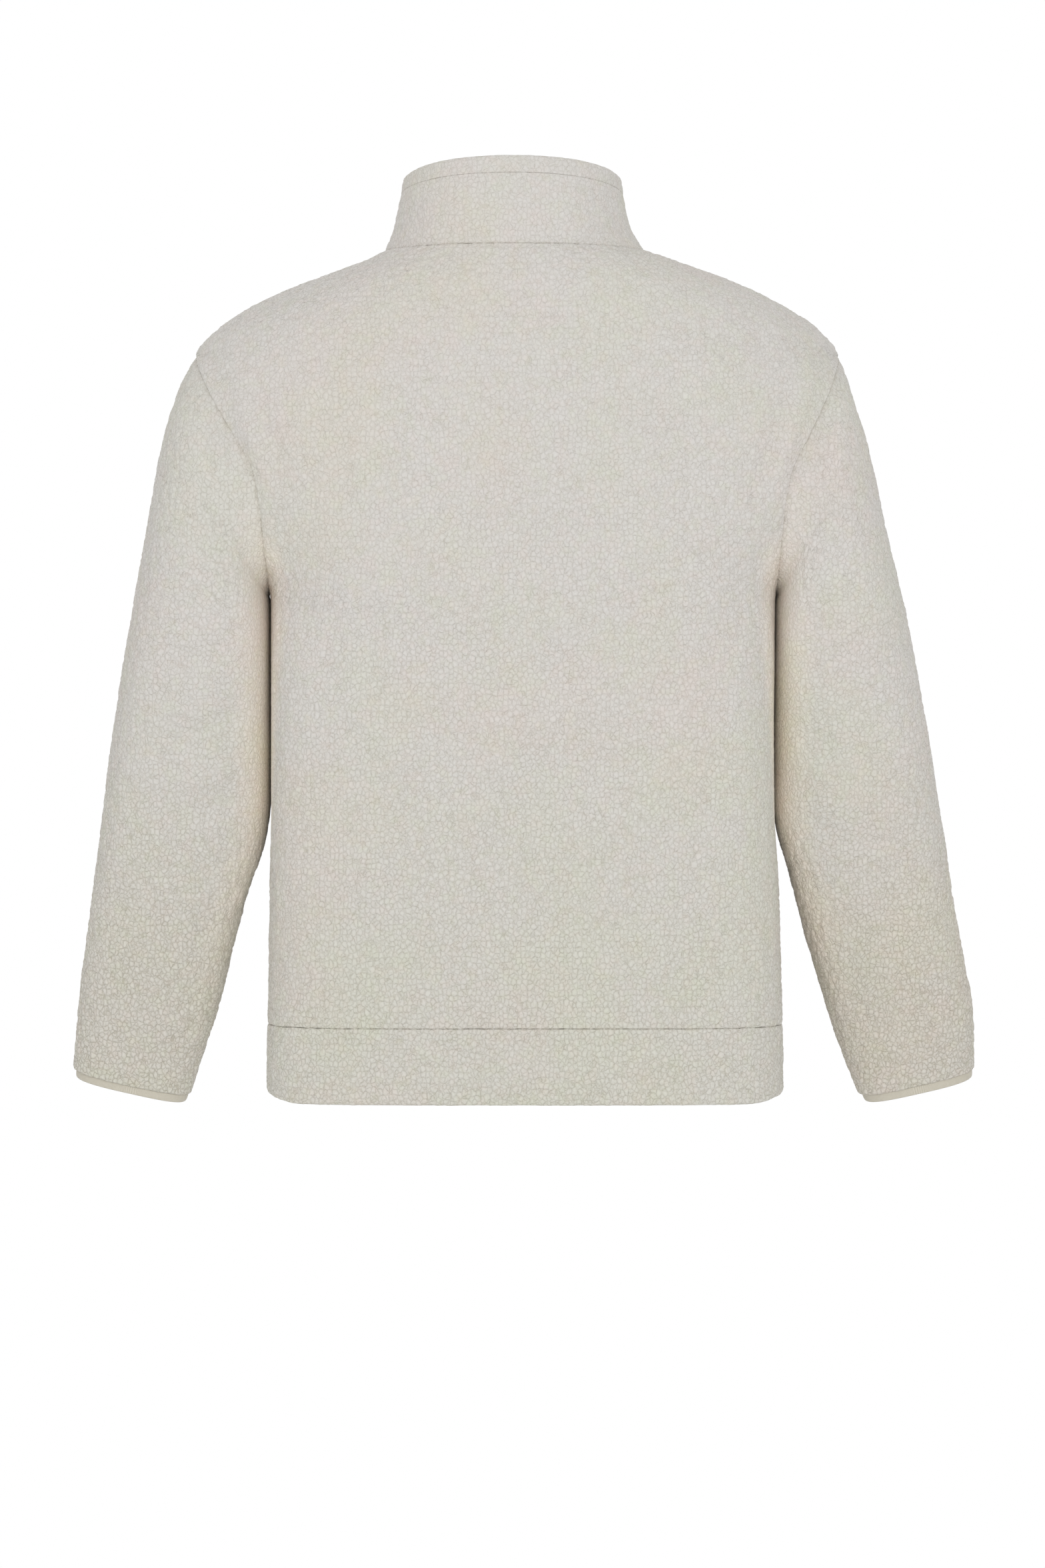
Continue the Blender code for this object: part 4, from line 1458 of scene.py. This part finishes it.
@dataclass
class Studio:
    """Pale round floor, soft light and the camera that looks at the garment's back."""

    floor_z: float = -1.45
    floor_radius: float = 1.5
    camera_distance: float = 5.0
    camera_z: float = -0.318
    frame_height: float = 1.323  # what the camera sees at the garment, upwards
    view_centre_z: float = -0.4478
    ambient: float = 0.75
    backdrop: float = 1.0

    SENSOR = 36.0
    AIM = (0.0, 0.0, -0.30)
    FLOOR_GREY = 0.93
    SOFTBOXES = (
        ("key_light", 34.2, (0.75, -3.6, 0.25), 1.6),
        ("fill_light", 4.5, (-1.9, -1.7, 0.10), 1.4),
        ("front_light", 17, (-0.7, 2.7, 1.00), 1.8),
    )

    def build(self) -> None:
        """Sets up floor, light, world and camera."""
        self.build_floor()
        self.build_world()
        for name, power, place, size in self.SOFTBOXES:
            self.add_softbox(name, power, place, size)
        self.build_camera()

    def build_floor(self) -> None:
        """Makes the round pale floor."""
        bm = bmesh.new()
        bmesh.ops.create_circle(bm, cap_ends=True, segments=64, radius=self.floor_radius)
        bmesh.ops.translate(bm, verts=bm.verts, vec=Vector((0, 0, self.floor_z)))
        mesh = bpy.data.meshes.new("studio_floor")
        bm.to_mesh(mesh)
        bm.free()
        tree = Tree("studio_white")
        grey = (self.FLOOR_GREY,) * 3
        tree.put(tree.shader, {"Base Color": (*grey, 1), "Roughness": 1.0})
        mesh.materials.append(tree.material)
        floor = bpy.data.objects.new("studio_floor", mesh)
        bpy.context.scene.collection.objects.link(floor)

    def build_world(self) -> None:
        """Gives an even white surround, a little brighter where the camera sees it."""
        world = bpy.data.worlds.new("studio_surround")
        bpy.context.scene.world = world
        world.use_nodes = True
        nodes, links = world.node_tree.nodes, world.node_tree.links
        background = nodes["Background"]
        background.inputs["Color"].default_value = (1, 1, 1, 1)
        path = nodes.new("ShaderNodeLightPath")
        level = nodes.new("ShaderNodeMapRange")
        level.inputs["To Min"].default_value = self.ambient
        level.inputs["To Max"].default_value = self.backdrop
        links.new(path.outputs["Is Camera Ray"], level.inputs["Value"])
        links.new(level.outputs[0], background.inputs["Strength"])

    def add_softbox(
        self, name: str, power: float, place: tuple[float, float, float], size: float
    ) -> None:
        """Adds one wide soft light, aimed at the garment.

        Args:
            name: the light's name.
            power: its power in watts.
            place: where it stands.
            size: the side of its square face.
        """
        light = bpy.data.lights.new(name, "AREA")
        light.energy = power
        light.size = size
        lamp = bpy.data.objects.new(name, light)
        lamp.location = place
        toward = Vector(place) - Vector(self.AIM)
        lamp.rotation_euler = toward.to_track_quat("Z", "Y").to_euler()
        lamp.visible_camera = False
        bpy.context.scene.collection.objects.link(lamp)

    def build_camera(self) -> None:
        """Puts the camera behind the garment, level, with the garment high in its frame."""
        camera = bpy.data.cameras.new("camera")
        camera.sensor_width = self.SENSOR
        camera.lens = self.SENSOR * self.camera_distance / self.frame_height
        camera.shift_y = (self.view_centre_z - self.camera_z) / self.frame_height
        holder = bpy.data.objects.new("camera", camera)
        holder.location = (0, -self.camera_distance, self.camera_z)
        holder.rotation_euler = (math.radians(90), 0, 0)
        bpy.context.scene.collection.objects.link(holder)
        bpy.context.scene.camera = holder


def main() -> None:
    """Builds the garment piece by piece, then the studio."""
    logging.basicConfig(level=logging.INFO, format="%(name)s: %(message)s")
    bpy.context.scene.view_settings.view_transform = "Standard"
    fleece = PileFinish().material()
    knit = KnitFinish().material()
    trunk = Trunk(fleece)
    trunk.build()
    for side in Side:
        Sleeve(side, trunk, fleece, knit).build()
    Collar(fleece).build()
    Studio().build()


if __name__ == "__main__":
    main()
